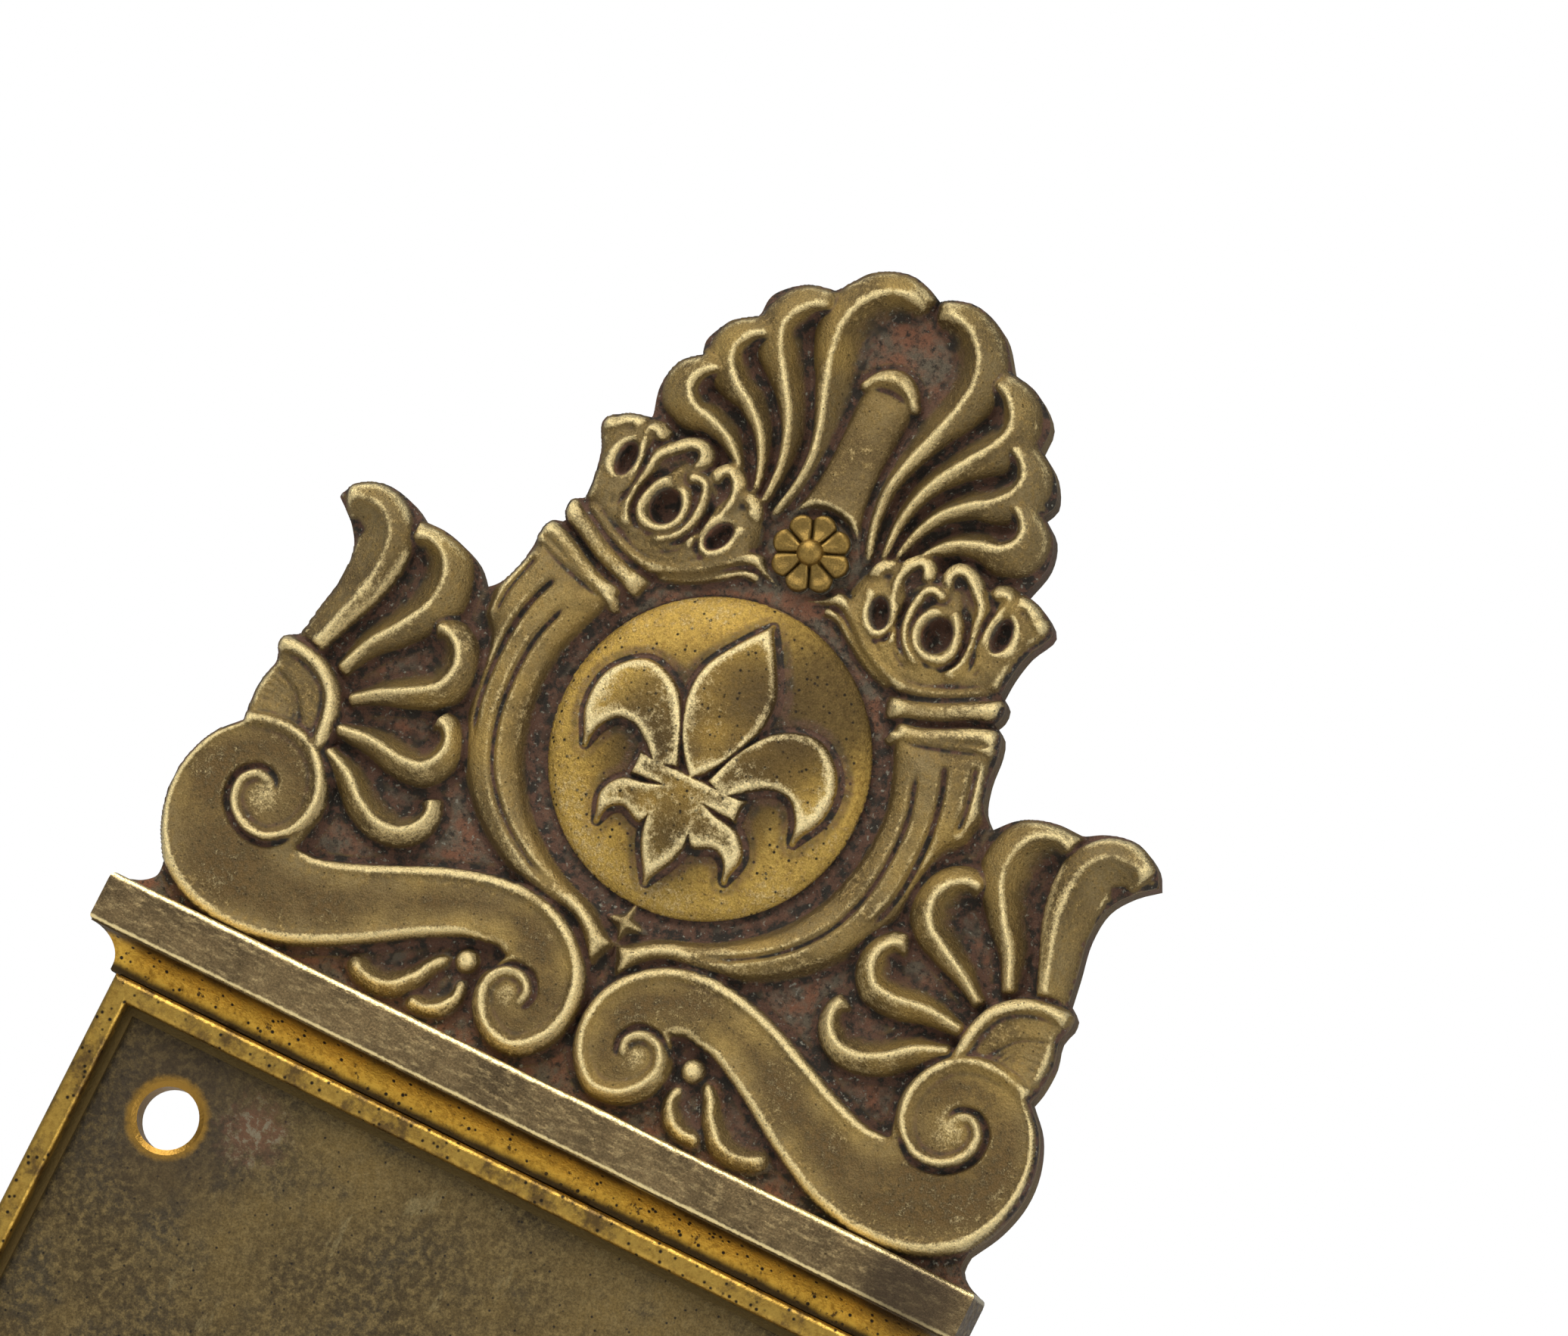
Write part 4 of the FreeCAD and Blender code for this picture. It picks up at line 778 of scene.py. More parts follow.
def casting_skin(field, edge, seed, pit=0.0):
    """Rolls the field down along its edge, then adds slow waves, a fine grain and pits."""
    edge_share = np.clip(nearest(field.x, field.z, edge)[0] / 0.5, 0, 1)
    rolled = SLAB + 0.1 + (field.h - SLAB - 0.1) * round_fall(1 - edge_share)
    field.h = field.blurred(rolled, STEP, 1)
    field.h += 0.05 * soft_noise(field.x, field.z, 2.3, seed)
    field.h += 0.02 * soft_noise(field.x, field.z, 0.6, seed + 1)
    if pit > 0:
        field.h -= pit * field.earth * np.clip(soft_noise(field.x, field.z, 0.45, seed + 2), 0, 1)
    field.h = np.maximum(field.h, SLAB + 0.05)


def straight_edges(cornice_z, far_x, far_z):
    """Test for grid points on the mirror line or along the cornice, which never slide."""
    def held(field):
        on_middle = (np.abs(field.x) < 1e-6) & (field.z < far_z)
        return on_middle | ((np.abs(field.z - cornice_z) < 1e-6) & (field.x < far_x))
    return held


casting_skin(crest, edge_line, 11, 0.10)
crest_held = straight_edges(CREST_LOW, 42.9, CREST_TOP)
crest_right = relief_mesh("crest_relief_right", crest, crest_outline, SLAB, False, crest_held)
crest_left = relief_mesh("crest_relief_left", crest, crest_outline, SLAB, True, crest_held)

# %% [markdown]
# ## Finishes
#
# All the metal is one yellow brass, but it has aged in different ways. High places that are
# touched and polished are pale gold, flat faces are olive brown, hollows hold dark dirt and
# polish residue, and the ground of the casting is a dull reddish brown. Each finish is a
# small tree of nodes, fed by the values stored on the relief or by places on the object.

# %% Small helpers for building finishes
def linear(r, g, b):
    """Colour given on a 0 to 255 scale, as the linear values a shader needs."""
    out = []
    for v in (r, g, b):
        v = v / 255.0
        out.append(v / 12.92 if v <= 0.04045 else ((v + 0.055) / 1.055) ** 2.4)
    return tuple(out) + (1.0,)


class Finish:
    """A metal finish being put together, node by node."""

    def __init__(self, name):
        self.material = bpy.data.materials.new(name)
        self.material.use_nodes = True
        self.tree = self.material.node_tree
        self.shader = self.tree.nodes["Principled BSDF"]
        self.place = self.make("ShaderNodeTexCoord").outputs["Object"]

    def make(self, kind, **settings):
        node = self.tree.nodes.new(kind)
        for key, value in settings.items():
            setattr(node, key, value)
        return node

    def feed(self, socket, value):
        if isinstance(value, bpy.types.NodeSocket):
            self.tree.links.new(value, socket)
        else:
            socket.default_value = value

    def noise(self, size_mm, detail=3.0, roughness=0.55, stretch=None):
        node = self.make("ShaderNodeTexNoise")
        place = self.place
        if stretch is not None:
            mapping = self.make("ShaderNodeMapping")
            self.feed(mapping.inputs["Vector"], place)
            mapping.inputs["Scale"].default_value = stretch
            place = mapping.outputs["Vector"]
        self.feed(node.inputs["Vector"], place)
        node.inputs["Scale"].default_value = 1000.0 / size_mm
        node.inputs["Detail"].default_value = detail
        node.inputs["Roughness"].default_value = roughness
        return node.outputs["Fac"]

    def specks(self, size_mm, low, high):
        node = self.make("ShaderNodeTexVoronoi")
        self.feed(node.inputs["Vector"], self.place)
        node.inputs["Scale"].default_value = 1000.0 / size_mm
        return self.span(node.outputs["Distance"], low, high)

    def span(self, value, low, high, to_low=0.0, to_high=1.0):
        node = self.make("ShaderNodeMapRange", clamp=True, interpolation_type="SMOOTHSTEP")
        self.feed(node.inputs["Value"], value)
        node.inputs["From Min"].default_value = low
        node.inputs["From Max"].default_value = high
        node.inputs["To Min"].default_value = to_low
        node.inputs["To Max"].default_value = to_high
        return node.outputs["Result"]

    def maths(self, operation, a, b=0.0):
        node = self.make("ShaderNodeMath", operation=operation)
        self.feed(node.inputs[0], a)
        self.feed(node.inputs[1], b)
        return node.outputs[0]

    def ragged(self, share, noise, amount):
        """A share whose edge wanders with a noise, by up to half the amount either way."""
        swing = self.maths("MULTIPLY", self.maths("SUBTRACT", noise, 0.5), amount)
        return self.maths("ADD", share, swing)

    def stored(self, name):
        node = self.make("ShaderNodeAttribute", attribute_name=name)
        return node.outputs["Fac"]

    def blend(self, share, a, b):
        node = self.make("ShaderNodeMix", data_type="RGBA")
        self.feed(node.inputs[0], share)
        self.feed(node.inputs[6], a)
        self.feed(node.inputs[7], b)
        return node.outputs[2]

    def tinted(self, colour, value):
        """Colour made darker or lighter by a plain value."""
        node = self.make("ShaderNodeMix", data_type="RGBA", blend_type="MULTIPLY")
        node.inputs[0].default_value = 1.0
        self.feed(node.inputs[6], colour)
        self.feed(node.inputs[7], value)
        return node.outputs[2]

    def level(self, share, a, b):
        node = self.make("ShaderNodeMix", data_type="FLOAT")
        self.feed(node.inputs[0], share)
        self.feed(node.inputs[2], a)
        self.feed(node.inputs[3], b)
        return node.outputs[0]

    def axis(self, name):
        node = self.make("ShaderNodeSeparateXYZ")
        self.feed(node.inputs[0], self.place)
        return node.outputs[name]

    def height(self):
        """Height above the door in millimetres."""
        return self.maths("MULTIPLY", self.axis("Y"), -1000.0)

    def from_middle(self):
        """Distance above or below the plate's middle in millimetres."""
        return self.maths("ABSOLUTE", self.maths("MULTIPLY", self.axis("Z"), 1000.0))

    def distance_to(self, x_mm, z_mm):
        """Distance in millimetres from the line through (x, z) square to the door."""
        node = self.make("ShaderNodeMapping")
        self.feed(node.inputs["Vector"], self.place)
        node.inputs["Scale"].default_value = (1000.0, 0.0, 1000.0)
        node.inputs["Location"].default_value = (-x_mm, 0.0, -z_mm)
        length = self.make("ShaderNodeVectorMath", operation="LENGTH")
        self.feed(length.inputs[0], node.outputs["Vector"])
        return length.outputs["Value"]

    def bump(self, height, depth_mm, strength=1.0):
        node = self.make("ShaderNodeBump")
        node.inputs["Distance"].default_value = depth_mm * MM
        node.inputs["Strength"].default_value = strength
        self.feed(node.inputs["Height"], height)
        self.feed(self.shader.inputs["Normal"], node.outputs["Normal"])

    def done(self, colour, metal, roughness):
        self.feed(self.shader.inputs["Base Color"], colour)
        self.feed(self.shader.inputs["Metallic"], metal)
        self.feed(self.shader.inputs["Roughness"], roughness)
        return self.material


GOLD_PALE = linear(236, 213, 154)
GOLD = linear(196, 164, 92)
GOLD_DEEP = linear(170, 134, 62)
OLIVE = linear(140, 121, 82)
BROWN = linear(108, 90, 58)
DIRT = linear(50, 43, 33)
EARTH = linear(128, 98, 74)
BLOOM = linear(150, 146, 128)

# %% [markdown]
# ### Finish of the relief
#
# The stored worn value puts pale polished metal on the ridges, and dirt darkens the cracks.
# Fine noise breaks up every boundary, because polish never stops on a clean line.

# %% Relief finish
def relief_finish(name, tone=OLIVE, bright=GOLD_PALE, wear_and_painted_light=None, warm=linear(176, 148, 86), overlay=None):
    f = Finish(name)
    patch = f.noise(6.0, 4.0)
    grain = f.noise(0.55, 4.0, 0.7)
    fine = f.noise(0.17, 3.0, 0.75)
    cloud = f.noise(11.0, 3.0)
    base = f.blend(f.span(cloud, 0.36, 0.62), warm, tone)
    base = f.blend(f.span(patch, 0.38, 0.70), base, BROWN)
    base = f.blend(f.span(grain, 0.42, 0.78), base, f.blend(0.5, tone, GOLD_DEEP))
    face = f.blend(f.span(grain, 0.40, 0.66), linear(112, 90, 56), linear(92, 78, 54))
    # Browner faces where dull is stored: unrubbed faces, and painted shade on the low flanks.
    unrubbed_and_shade = f.maths("MULTIPLY", f.stored("dull"), f.span(patch, 0.25, 0.65, 0.55, 1.0))
    base = f.blend(unrubbed_and_shade, base, face)
    # The dome's overlay paints highlight and shade into the colour, and adds dark pits.
    if overlay is not None:
        base = overlay(f, base, patch, grain)
    worn = f.ragged(f.ragged(f.ragged(f.stored("worn"), grain, 1.5), fine, 0.9), patch, 1.1)
    # The dome's hook adds painted highlight and painted shade to the polish.
    if wear_and_painted_light is not None:
        worn = f.maths("ADD", worn, wear_and_painted_light(f, patch))
    worn = f.span(worn, 0.15, 1.0)
    base = f.blend(worn, base, bright)
    ground = f.blend(f.span(f.noise(2.6, 4.0, 0.65), 0.38, 0.60), linear(134, 90, 64),
                     linear(108, 97, 78))
    ground = f.blend(f.span(grain, 0.48, 0.70), ground, DIRT)
    ground = f.blend(f.span(f.noise(0.8, 3.0, 0.7), 0.60, 0.72), ground,
                     f.blend(f.span(patch, 0.4, 0.6), EARTH, BLOOM))
    earth = f.span(f.ragged(f.stored("earth"), grain, 0.8), 0.25, 0.75)
    base = f.blend(earth, base, ground)
    dirty = f.span(f.ragged(f.ragged(f.stored("dirt"), patch, 0.4), fine, 0.5), 0.08, 0.8)
    rust = f.blend(f.span(f.noise(1.4, 4.0, 0.7), 0.42, 0.56), DIRT, linear(102, 72, 54))
    colour = f.blend(dirty, base, f.blend(f.span(f.noise(0.4, 3.0), 0.60, 0.72), rust, BLOOM))
    pits = f.specks(0.62, 0.24, 0.09)
    colour = f.blend(f.maths("MULTIPLY", pits, f.span(grain, 0.42, 0.6, 0.15, 0.75)), colour, DIRT)
    colour = f.tinted(colour, f.span(fine, 0.28, 0.72, 0.66, 1.12))
    rough = f.level(worn, f.span(grain, 0.2, 0.8, 0.38, 0.58), f.span(fine, 0.3, 0.7, 0.24, 0.40))
    rough = f.level(f.maths("MAXIMUM", dirty, earth), rough, 0.75)
    metal = f.level(f.maths("MAXIMUM", dirty, earth), 0.92, 0.30)
    f.bump(f.maths("ADD", f.maths("MULTIPLY", grain, 1.6), fine), 0.10, 1.0)
    return f.done(colour, metal, rough)


def dome_sheen_and_shade(f, patch):
    """Painted highlight as more polish near the dome's edge than on its middle, and painted shade as
    least polish at its upper right.
    """
    reach = f.distance_to(0.0, DISC_Z)
    # Painted highlight: brighter towards the dome's edge.
    edge = f.span(reach, 8.5, 13.0, -0.15, 0.22)
    # Painted shade: darker at the dome's upper right.
    shade = f.span(f.distance_to(9.0, DISC_Z + 11.0), 4.0, 15.0, -0.45, 0.0)
    return f.maths("ADD", f.maths("ADD", edge, shade), f.span(patch, 0.3, 0.7, 0.3, -0.3))


def dome_painted_light_and_pits(f, base, patch, grain):
    """Painted highlight as yellow flanks, painted shade as brown patches beside and inside the device,
    and dark pits.
    """
    # Painted highlight: a yellow ring on the dome's flank.
    flank = f.span(f.ragged(f.distance_to(0.0, DISC_Z), patch, 5.0), 7.5, 12.0)
    flank_tone = f.blend(f.span(grain, 0.4, 0.7), DOME_FLANK, GOLD_DEEP)
    base = f.blend(f.maths("MULTIPLY", flank, 0.7), base, flank_tone)
    # Painted shade: brown patches at the places listed in DOME_SHADOWS.
    for spot_x, spot_z, inner, outer, share in DOME_SHADOWS:
        gap = f.ragged(f.distance_to(spot_x, DISC_Z + spot_z), patch, 5.0)
        base = f.blend(f.span(gap, outer, inner, 0.0, share), base, DOME_SHADOW)
    return f.blend(f.specks(0.9, 0.22, 0.08), base, DIRT)


# Painted light on the dome: the flank colour is a painted highlight; the shadow colour and its patches
# (x, z, inner, outer, share) are painted shade.
DOME_FLANK = linear(222, 184, 92)
DOME_SHADOW = linear(78, 63, 42)
DOME_SHADOWS = ((7.0, 8.5, 3.0, 10.5, 0.85), (-5.0, -1.0, 1.5, 6.5, 0.85), (4.8, -1.4, 1.0, 5.5, 0.8),
                (1.0, -9.0, 1.0, 5.5, 0.6))
aged_relief = relief_finish("aged_brass_relief")
dome_finish = relief_finish("aged_brass_dome", linear(108, 88, 52), linear(242, 220, 162), dome_sheen_and_shade,
                            linear(176, 142, 70), dome_painted_light_and_pits)
for piece in (crest_right, crest_left):
    piece.data.materials.append(aged_relief)

# %% [markdown]
# ### Finish of the plate
#
# The measured plate keeps its own mesh. Its panel has a dark mottled patina, the raised
# strip is deep yellow where it is wiped, and each screw hole has a ring rubbed bright by
# the screw's head. Places are told apart by their height above the door and their reach.

# %% Plate and cast frame finish
HOLE_X, HOLE_Z = 29.7, 96.25
STAIN_PLACE, CRUST_PLACE = (-29.0, 97.0), (-22.0, 98.5)


def plate_finish(name):
    f = Finish(name)
    patch = f.noise(9.0, 5.0, 0.6)
    grain = f.noise(0.7, 5.0, 0.7)
    fine = f.noise(0.25, 2.0)
    cloud = f.noise(24.0, 3.0, 0.6)
    panel = f.blend(f.span(cloud, 0.38, 0.62), linear(124, 102, 58), linear(82, 68, 44))
    panel = f.blend(f.span(patch, 0.44, 0.66), panel, linear(78, 68, 50))
    panel = f.blend(f.span(grain, 0.40, 0.70), panel, linear(132, 112, 70))
    scratch = f.noise(3.0, 5.0, 0.7, (1.0, 1.0, 0.35))
    panel = f.blend(f.span(scratch, 0.60, 0.68, 0.0, 0.5), panel, linear(150, 134, 92))
    panel = f.blend(f.specks(1.1, 0.16, 0.05), panel, DIRT)
    panel = f.tinted(panel, f.span(f.noise(0.22, 3.0, 0.75), 0.28, 0.72, 0.6, 1.2))
    corner = f.distance_to(*STAIN_PLACE)
    crust = f.maths("MULTIPLY", f.noise(1.3, 5.0, 0.75), 11.0)
    crust = f.maths("ADD", f.distance_to(*CRUST_PLACE), crust)
    panel = f.blend(f.span(corner, 13.0, 3.0, 0.0, 0.55), panel, linear(66, 54, 42))
    flakes = f.blend(f.span(grain, 0.50, 0.62), linear(118, 84, 62), linear(140, 130, 108))
    panel = f.blend(f.span(crust, 9.5, 6.0, 0.0, 0.7), panel, flakes)
    raised = f.span(f.height(), 3.4, 4.3)
    ledge = f.span(f.height(), 2.75, 3.05)
    strip = f.blend(f.span(grain, 0.35, 0.75), linear(196, 158, 74), linear(144, 112, 50))
    strip = f.blend(f.span(f.noise(3.0, 5.0, 0.7), 0.46, 0.66), strip, linear(108, 85, 50))
    strip = f.blend(f.specks(0.9, 0.26, 0.10), strip, DIRT)
    colour = f.blend(ledge, panel, linear(96, 78, 40))
    colour = f.blend(raised, colour, strip)
    ring = 0.0
    for hole_x in (-HOLE_X, HOLE_X):
        for hole_z in (-HOLE_Z, HOLE_Z):
            ring = f.maths("MAXIMUM", ring, f.span(f.distance_to(hole_x, hole_z), 3.0, 4.9, 1.0, 0.0))
    ring = f.span(f.ragged(ring, grain, 0.7), 0.35, 1.0)
    colour = f.blend(f.maths("MULTIPLY", ring, 0.85), colour, linear(168, 128, 56))
    bright = f.maths("MAXIMUM", raised, ring)
    rough = f.level(bright, f.span(grain, 0.3, 0.7, 0.46, 0.62), f.span(grain, 0.3, 0.7, 0.32, 0.46))
    f.bump(f.maths("ADD", grain, fine), 0.05, 0.8)
    return f.done(colour, f.level(bright, 0.75, 1.0), rough)


def turned_finish(name, colour=GOLD_DEEP, dark=BROWN):
    """Plain machined brass or steel, gone dull between the wiped places."""
    f = Finish(name)
    patch = f.noise(2.2, 4.0)
    grain = f.noise(0.3, 3.0)
    tint = f.blend(f.span(patch, 0.35, 0.7), colour, dark)
    tint = f.blend(f.specks(0.7, 0.16, 0.04), tint, DIRT)
    f.bump(grain, 0.02, 0.7)
    return f.done(tint, 1.0, f.span(grain, 0.25, 0.75, 0.28, 0.46))


def casting_finish(name):
    """Untouched back of a casting: dull, sandy and stained."""
    f = Finish(name)
    cloud, patch = f.noise(14.0, 4.0), f.noise(4.0, 4.0)
    grain, fine = f.noise(0.6, 5.0, 0.7), f.noise(0.2, 3.0, 0.7)
    tint = f.blend(f.span(cloud, 0.36, 0.66), linear(128, 106, 64), linear(94, 76, 52))
    tint = f.blend(f.span(patch, 0.5, 0.75), tint, linear(112, 80, 62))
    tint = f.blend(f.span(grain, 0.55, 0.75), tint, DIRT)
    tint = f.tinted(tint, f.span(fine, 0.28, 0.72, 0.7, 1.12))
    f.bump(f.maths("ADD", grain, fine), 0.09, 1.0)
    return f.done(tint, 0.6, f.span(grain, 0.3, 0.7, 0.55, 0.75))


def flap_finish(name, node):
    """Dark patina like the panel's, rubbed through along the flap's edges and pull lip."""
    high = node_mm(node)[1]
    f = Finish(name)
    patch, grain, fine = f.noise(9.0, 5.0, 0.6), f.noise(0.7, 5.0, 0.7), f.noise(0.16, 3.0, 0.75)
    tint = f.blend(f.span(patch, 0.36, 0.66), linear(128, 108, 66), linear(92, 78, 48))
    tint = f.blend(f.span(grain, 0.42, 0.75), tint, linear(138, 120, 82))
    tint = f.tinted(tint, f.span(fine, 0.28, 0.72, 0.7, 1.15))
    across = f.maths("MULTIPLY", f.axis("X"), 1000.0)
    lip = f.span(across, high[0] - 5.5, high[0] - 0.5)
    ends = f.span(f.from_middle(), high[2] - 3.0, high[2] - 0.4)
    rub = f.span(f.ragged(f.maths("MAXIMUM", lip, ends), grain, 0.9), 0.35, 1.1)
    rub = f.maths("MULTIPLY", rub, f.span(f.height(), 3.0, 4.2))
    tint = f.blend(rub, tint, GOLD)
    tint = f.blend(f.specks(1.1, 0.16, 0.05), tint, DIRT)
    f.bump(f.maths("ADD", grain, fine), 0.05, 0.8)
    return f.done(tint, f.level(rub, 0.8, 1.0), f.level(rub, f.span(grain, 0.3, 0.7, 0.44, 0.6), 0.32))


def leather_finish(name):
    f = Finish(name)
    grain = f.noise(0.5, 4.0, 0.65)
    tint = f.blend(f.span(grain, 0.35, 0.7), linear(92, 58, 34), linear(52, 33, 21))
    f.bump(grain, 0.08, 1.0)
    return f.done(tint, 0.0, f.span(grain, 0.3, 0.7, 0.62, 0.85))


slot_finishes = {
    "plate_brass": plate_finish("patinated_plate_brass"),
    "crest_brass": turned_finish("turned_rosette_brass"),
    "bright_brass": turned_finish("machined_brass", GOLD, GOLD_DEEP),
    "pin_steel": turned_finish("oiled_pin_steel", linear(150, 148, 144), linear(96, 90, 82)),
    "spring_wire": turned_finish("spring_wire_steel", linear(120, 118, 116), linear(74, 70, 66)),
    "pad_leather": leather_finish("pad_leather_brown"),
}
casting_back = casting_finish("rough_casting_back")
own_finishes = {"flap": flap_finish("rubbed_flap_brass", "flap")}
print("finishes made:", ", ".join(sorted(slot_finishes)))

# %% Give every measured piece its finish
for entry in frame["record"]["subparts"]:
    piece = frame["nodes"][entry["node"]]
    if not piece.material_slots:
        piece.data.materials.append(None)
    for holder in piece.material_slots:
        holder.material = own_finishes.get(entry["node"], slot_finishes[entry["material_slot"]])

# %% [markdown]
# ## Roundel
#
# The roundel is a shallow spun dome with an applied device. The device here is a plain
# heraldic lily, cut as a flat face with sloping edges that follows the curve of the dome.
# It is a relief too, on a finer grid. The turned stub behind it, for its nut, comes later.

# %% Lay the dome and its lily
ROUNDEL_SEAT = 3.2
DOME_CROWN = 2.55
LILY_RISE = 1.05
LILY_SIZE = 1.09
dome_step = 0.13
dome = Relief((-DISC_R - 0.1, -DISC_R - 0.1), (DISC_R + 0.1, DISC_R + 0.1), dome_step, ROUNDEL_SEAT)
ball_r = (DISC_R ** 2 + DOME_CROWN ** 2) / (2 * DOME_CROWN)
dome_gap = np.hypot(dome.x, dome.z)
dome.h = ROUNDEL_SEAT + DOME_CROWN - ball_r + np.sqrt(ball_r ** 2 - np.minimum(dome_gap, ball_r) ** 2)
rolled = round_fall(np.clip((dome_gap - DISC_R + 0.9) / 0.9, 0, 1))
dome.h = ROUNDEL_SEAT + (dome.h - ROUNDEL_SEAT) * rolled + 0.35 * rolled


def both_halves(run):
    """Closed outline from a right-hand run that starts and ends on the middle line."""
    right = smooth_line(run)
    return np.vstack([right, right[::-1] * (-1, 1)])


def flipped(outline):
    return outline[::-1] * (-1, 1)


lily_leaf = outline_of([[(1.3, -2.0), (2.6, 1.4), (4.9, 4.2), (8.0, 5.0), (10.6, 2.8), (11.0, -0.4),
                         (9.6, -3.4)],
                        [(9.6, -3.4), (9.0, -1.6), (7.9, -0.4), (6.5, -0.3), (4.9, -1.2), (3.2, -2.9)],
                        [(3.2, -2.9), (1.3, -2.0)]])
lily_foot = outline_of([[(1.4, -3.4), (3.2, -4.1), (5.4, -4.7), (6.5, -6.4), (5.9, -8.6)],
                        [(5.9, -8.6), (5.2, -7.2), (4.2, -6.7), (2.4, -7.3), (1.2, -5.8)],
                        [(1.2, -5.8), (1.4, -3.4)]])
lily_shapes = [
    both_halves([(0, 11.8), (1.8, 9.2), (3.3, 6.4), (3.4, 3.6), (2.2, 0.2), (0, -2.6)]),
    both_halves([(0, -2.0), (1.7, -3.2), (2.1, -5.4), (1.7, -8.4), (0, -11.4)]),
    lily_leaf, flipped(lily_leaf), lily_foot, flipped(lily_foot),
    np.array([(-4.8, -4.0), (4.8, -4.0), (4.8, -2.1), (-4.8, -2.1)]),
]
inner = np.full(dome.x.shape, -9.0)
for shape in lily_shapes:
    inner = np.maximum(inner, signed_distance(dome.x, dome.z, LILY_SIZE * shape))
bevel = np.clip((inner + 0.25) / 0.6, 0, 1)
dome.h += LILY_RISE * bevel * bevel * (3 - 2 * bevel)
dome.polish = np.where(inner > 0.1, 0.62 + 0.3 * np.exp(-np.abs(inner - 0.35) / 0.6), 0.0) \
    - 0.4 * bell_fall(np.abs(inner + 0.9) / 0.9)
dome.grime = 0.5 * bell_fall(np.abs(inner + 0.9) / 1.1)
dome.h -= 0.12 * bell_fall(np.abs(inner + 0.42) / 0.22)
dome.h += 0.03 * soft_noise(dome.x, dome.z, 2.0, 21) + 0.015 * soft_noise(dome.x, dome.z, 0.5, 22)
dome.h -= 0.05 * bevel * np.clip(soft_noise(dome.x, dome.z, 0.35, 23), 0, 1)
roundel_piece = relief_mesh("roundel_dome", dome, oval(0, 0, DISC_R, DISC_R, 0, 240), ROUNDEL_SEAT)
roundel_piece.data.materials.append(dome_finish)

# %% [markdown]
# ## Cornice
#
# The crest stands on a small classical cornice: a flat band over a bright hollow cove. It
# turns the corner at each end, so its section is stacked as rings that are mitred at the
# corners. A slight wander of the edges shows that it was filed by hand after casting.

# %% Cornice as stacked rings
CORNICE_HALF_W, CORNICE_T, TONGUE_HALF_W, TONGUE_T = 43.5, 6.4, 34.05, 2.05
CORNICE_TOP = 113.75
COVE_OUT, COVE_Z, COVE_DEPTH, COVE_TALL = 3.3, 106.3, 2.85, 2.7
CORNICE_PROFILE = [(3.15, 105.76), (COVE_OUT, 105.9)]
for angle in np.radians(np.linspace(0, 90, 13)):
    CORNICE_PROFILE.append((COVE_OUT + COVE_DEPTH * (1 - math.cos(angle)),
                            COVE_Z + COVE_TALL * math.sin(angle)))
CORNICE_PROFILE += [(6.15, 109.12), (6.28, 109.2), (6.37, 109.32)]
CORNICE_PROFILE += [(CORNICE_T, z) for z in (109.5, 110.6, 111.8, 113.0)]
CORNICE_PROFILE += [(6.36, 113.4), (6.26, 113.62), (6.1, 113.72), (5.9, CORNICE_TOP), (3.2, CORNICE_TOP)]


def cornice_piece(name, sign, finish):
    """Cornice and cove; sign is 1 above the plate and -1 below it."""
    samples = 261
    rings = []
    for k, (out, z) in enumerate(CORNICE_PROFILE):
        half = CORNICE_HALF_W - CORNICE_T + out
        across = np.linspace(-half, half, samples)
        wander = 0.05 * soft_noise(across, np.full(samples, z), 5.0, 31)
        wander += 0.035 * soft_noise(across, np.full(samples, z), 0.9, 32)
        face = out + wander * (1.0 if 6.0 < out else 0.5)
        free = 0.05 if 0 < k < len(CORNICE_PROFILE) - 1 else 0.0
        low = z + free * soft_noise(across, np.full(samples, 0.0), 7.0, 33)
        ring = [(-half, 0.0, z), (-half, out * 0.5, z)]
        ring += [(x, h, zz) for x, h, zz in zip(across, face, low)]
        ring += [(half, out * 0.5, z), (half, 0.0, z)]
        ring += [(TONGUE_HALF_W, 0.0, z), (TONGUE_HALF_W, TONGUE_T, z),
                 (-TONGUE_HALF_W, TONGUE_T, z), (-TONGUE_HALF_W, 0.0, z)]
        rings.append(ring)
    bm = bmesh.new()
    made = [[bm.verts.new((x * MM, -h * MM, sign * z * MM)) for x, h, z in ring] for ring in rings]
    for low, high in zip(made[:-1], made[1:]):
        wall_between(bm, low, high)
    fill_loop(bm, [made[0]])
    fill_loop(bm, [made[-1]])
    piece = solid(name, bm, finish, 40)
    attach(piece, PLATE)
    return piece


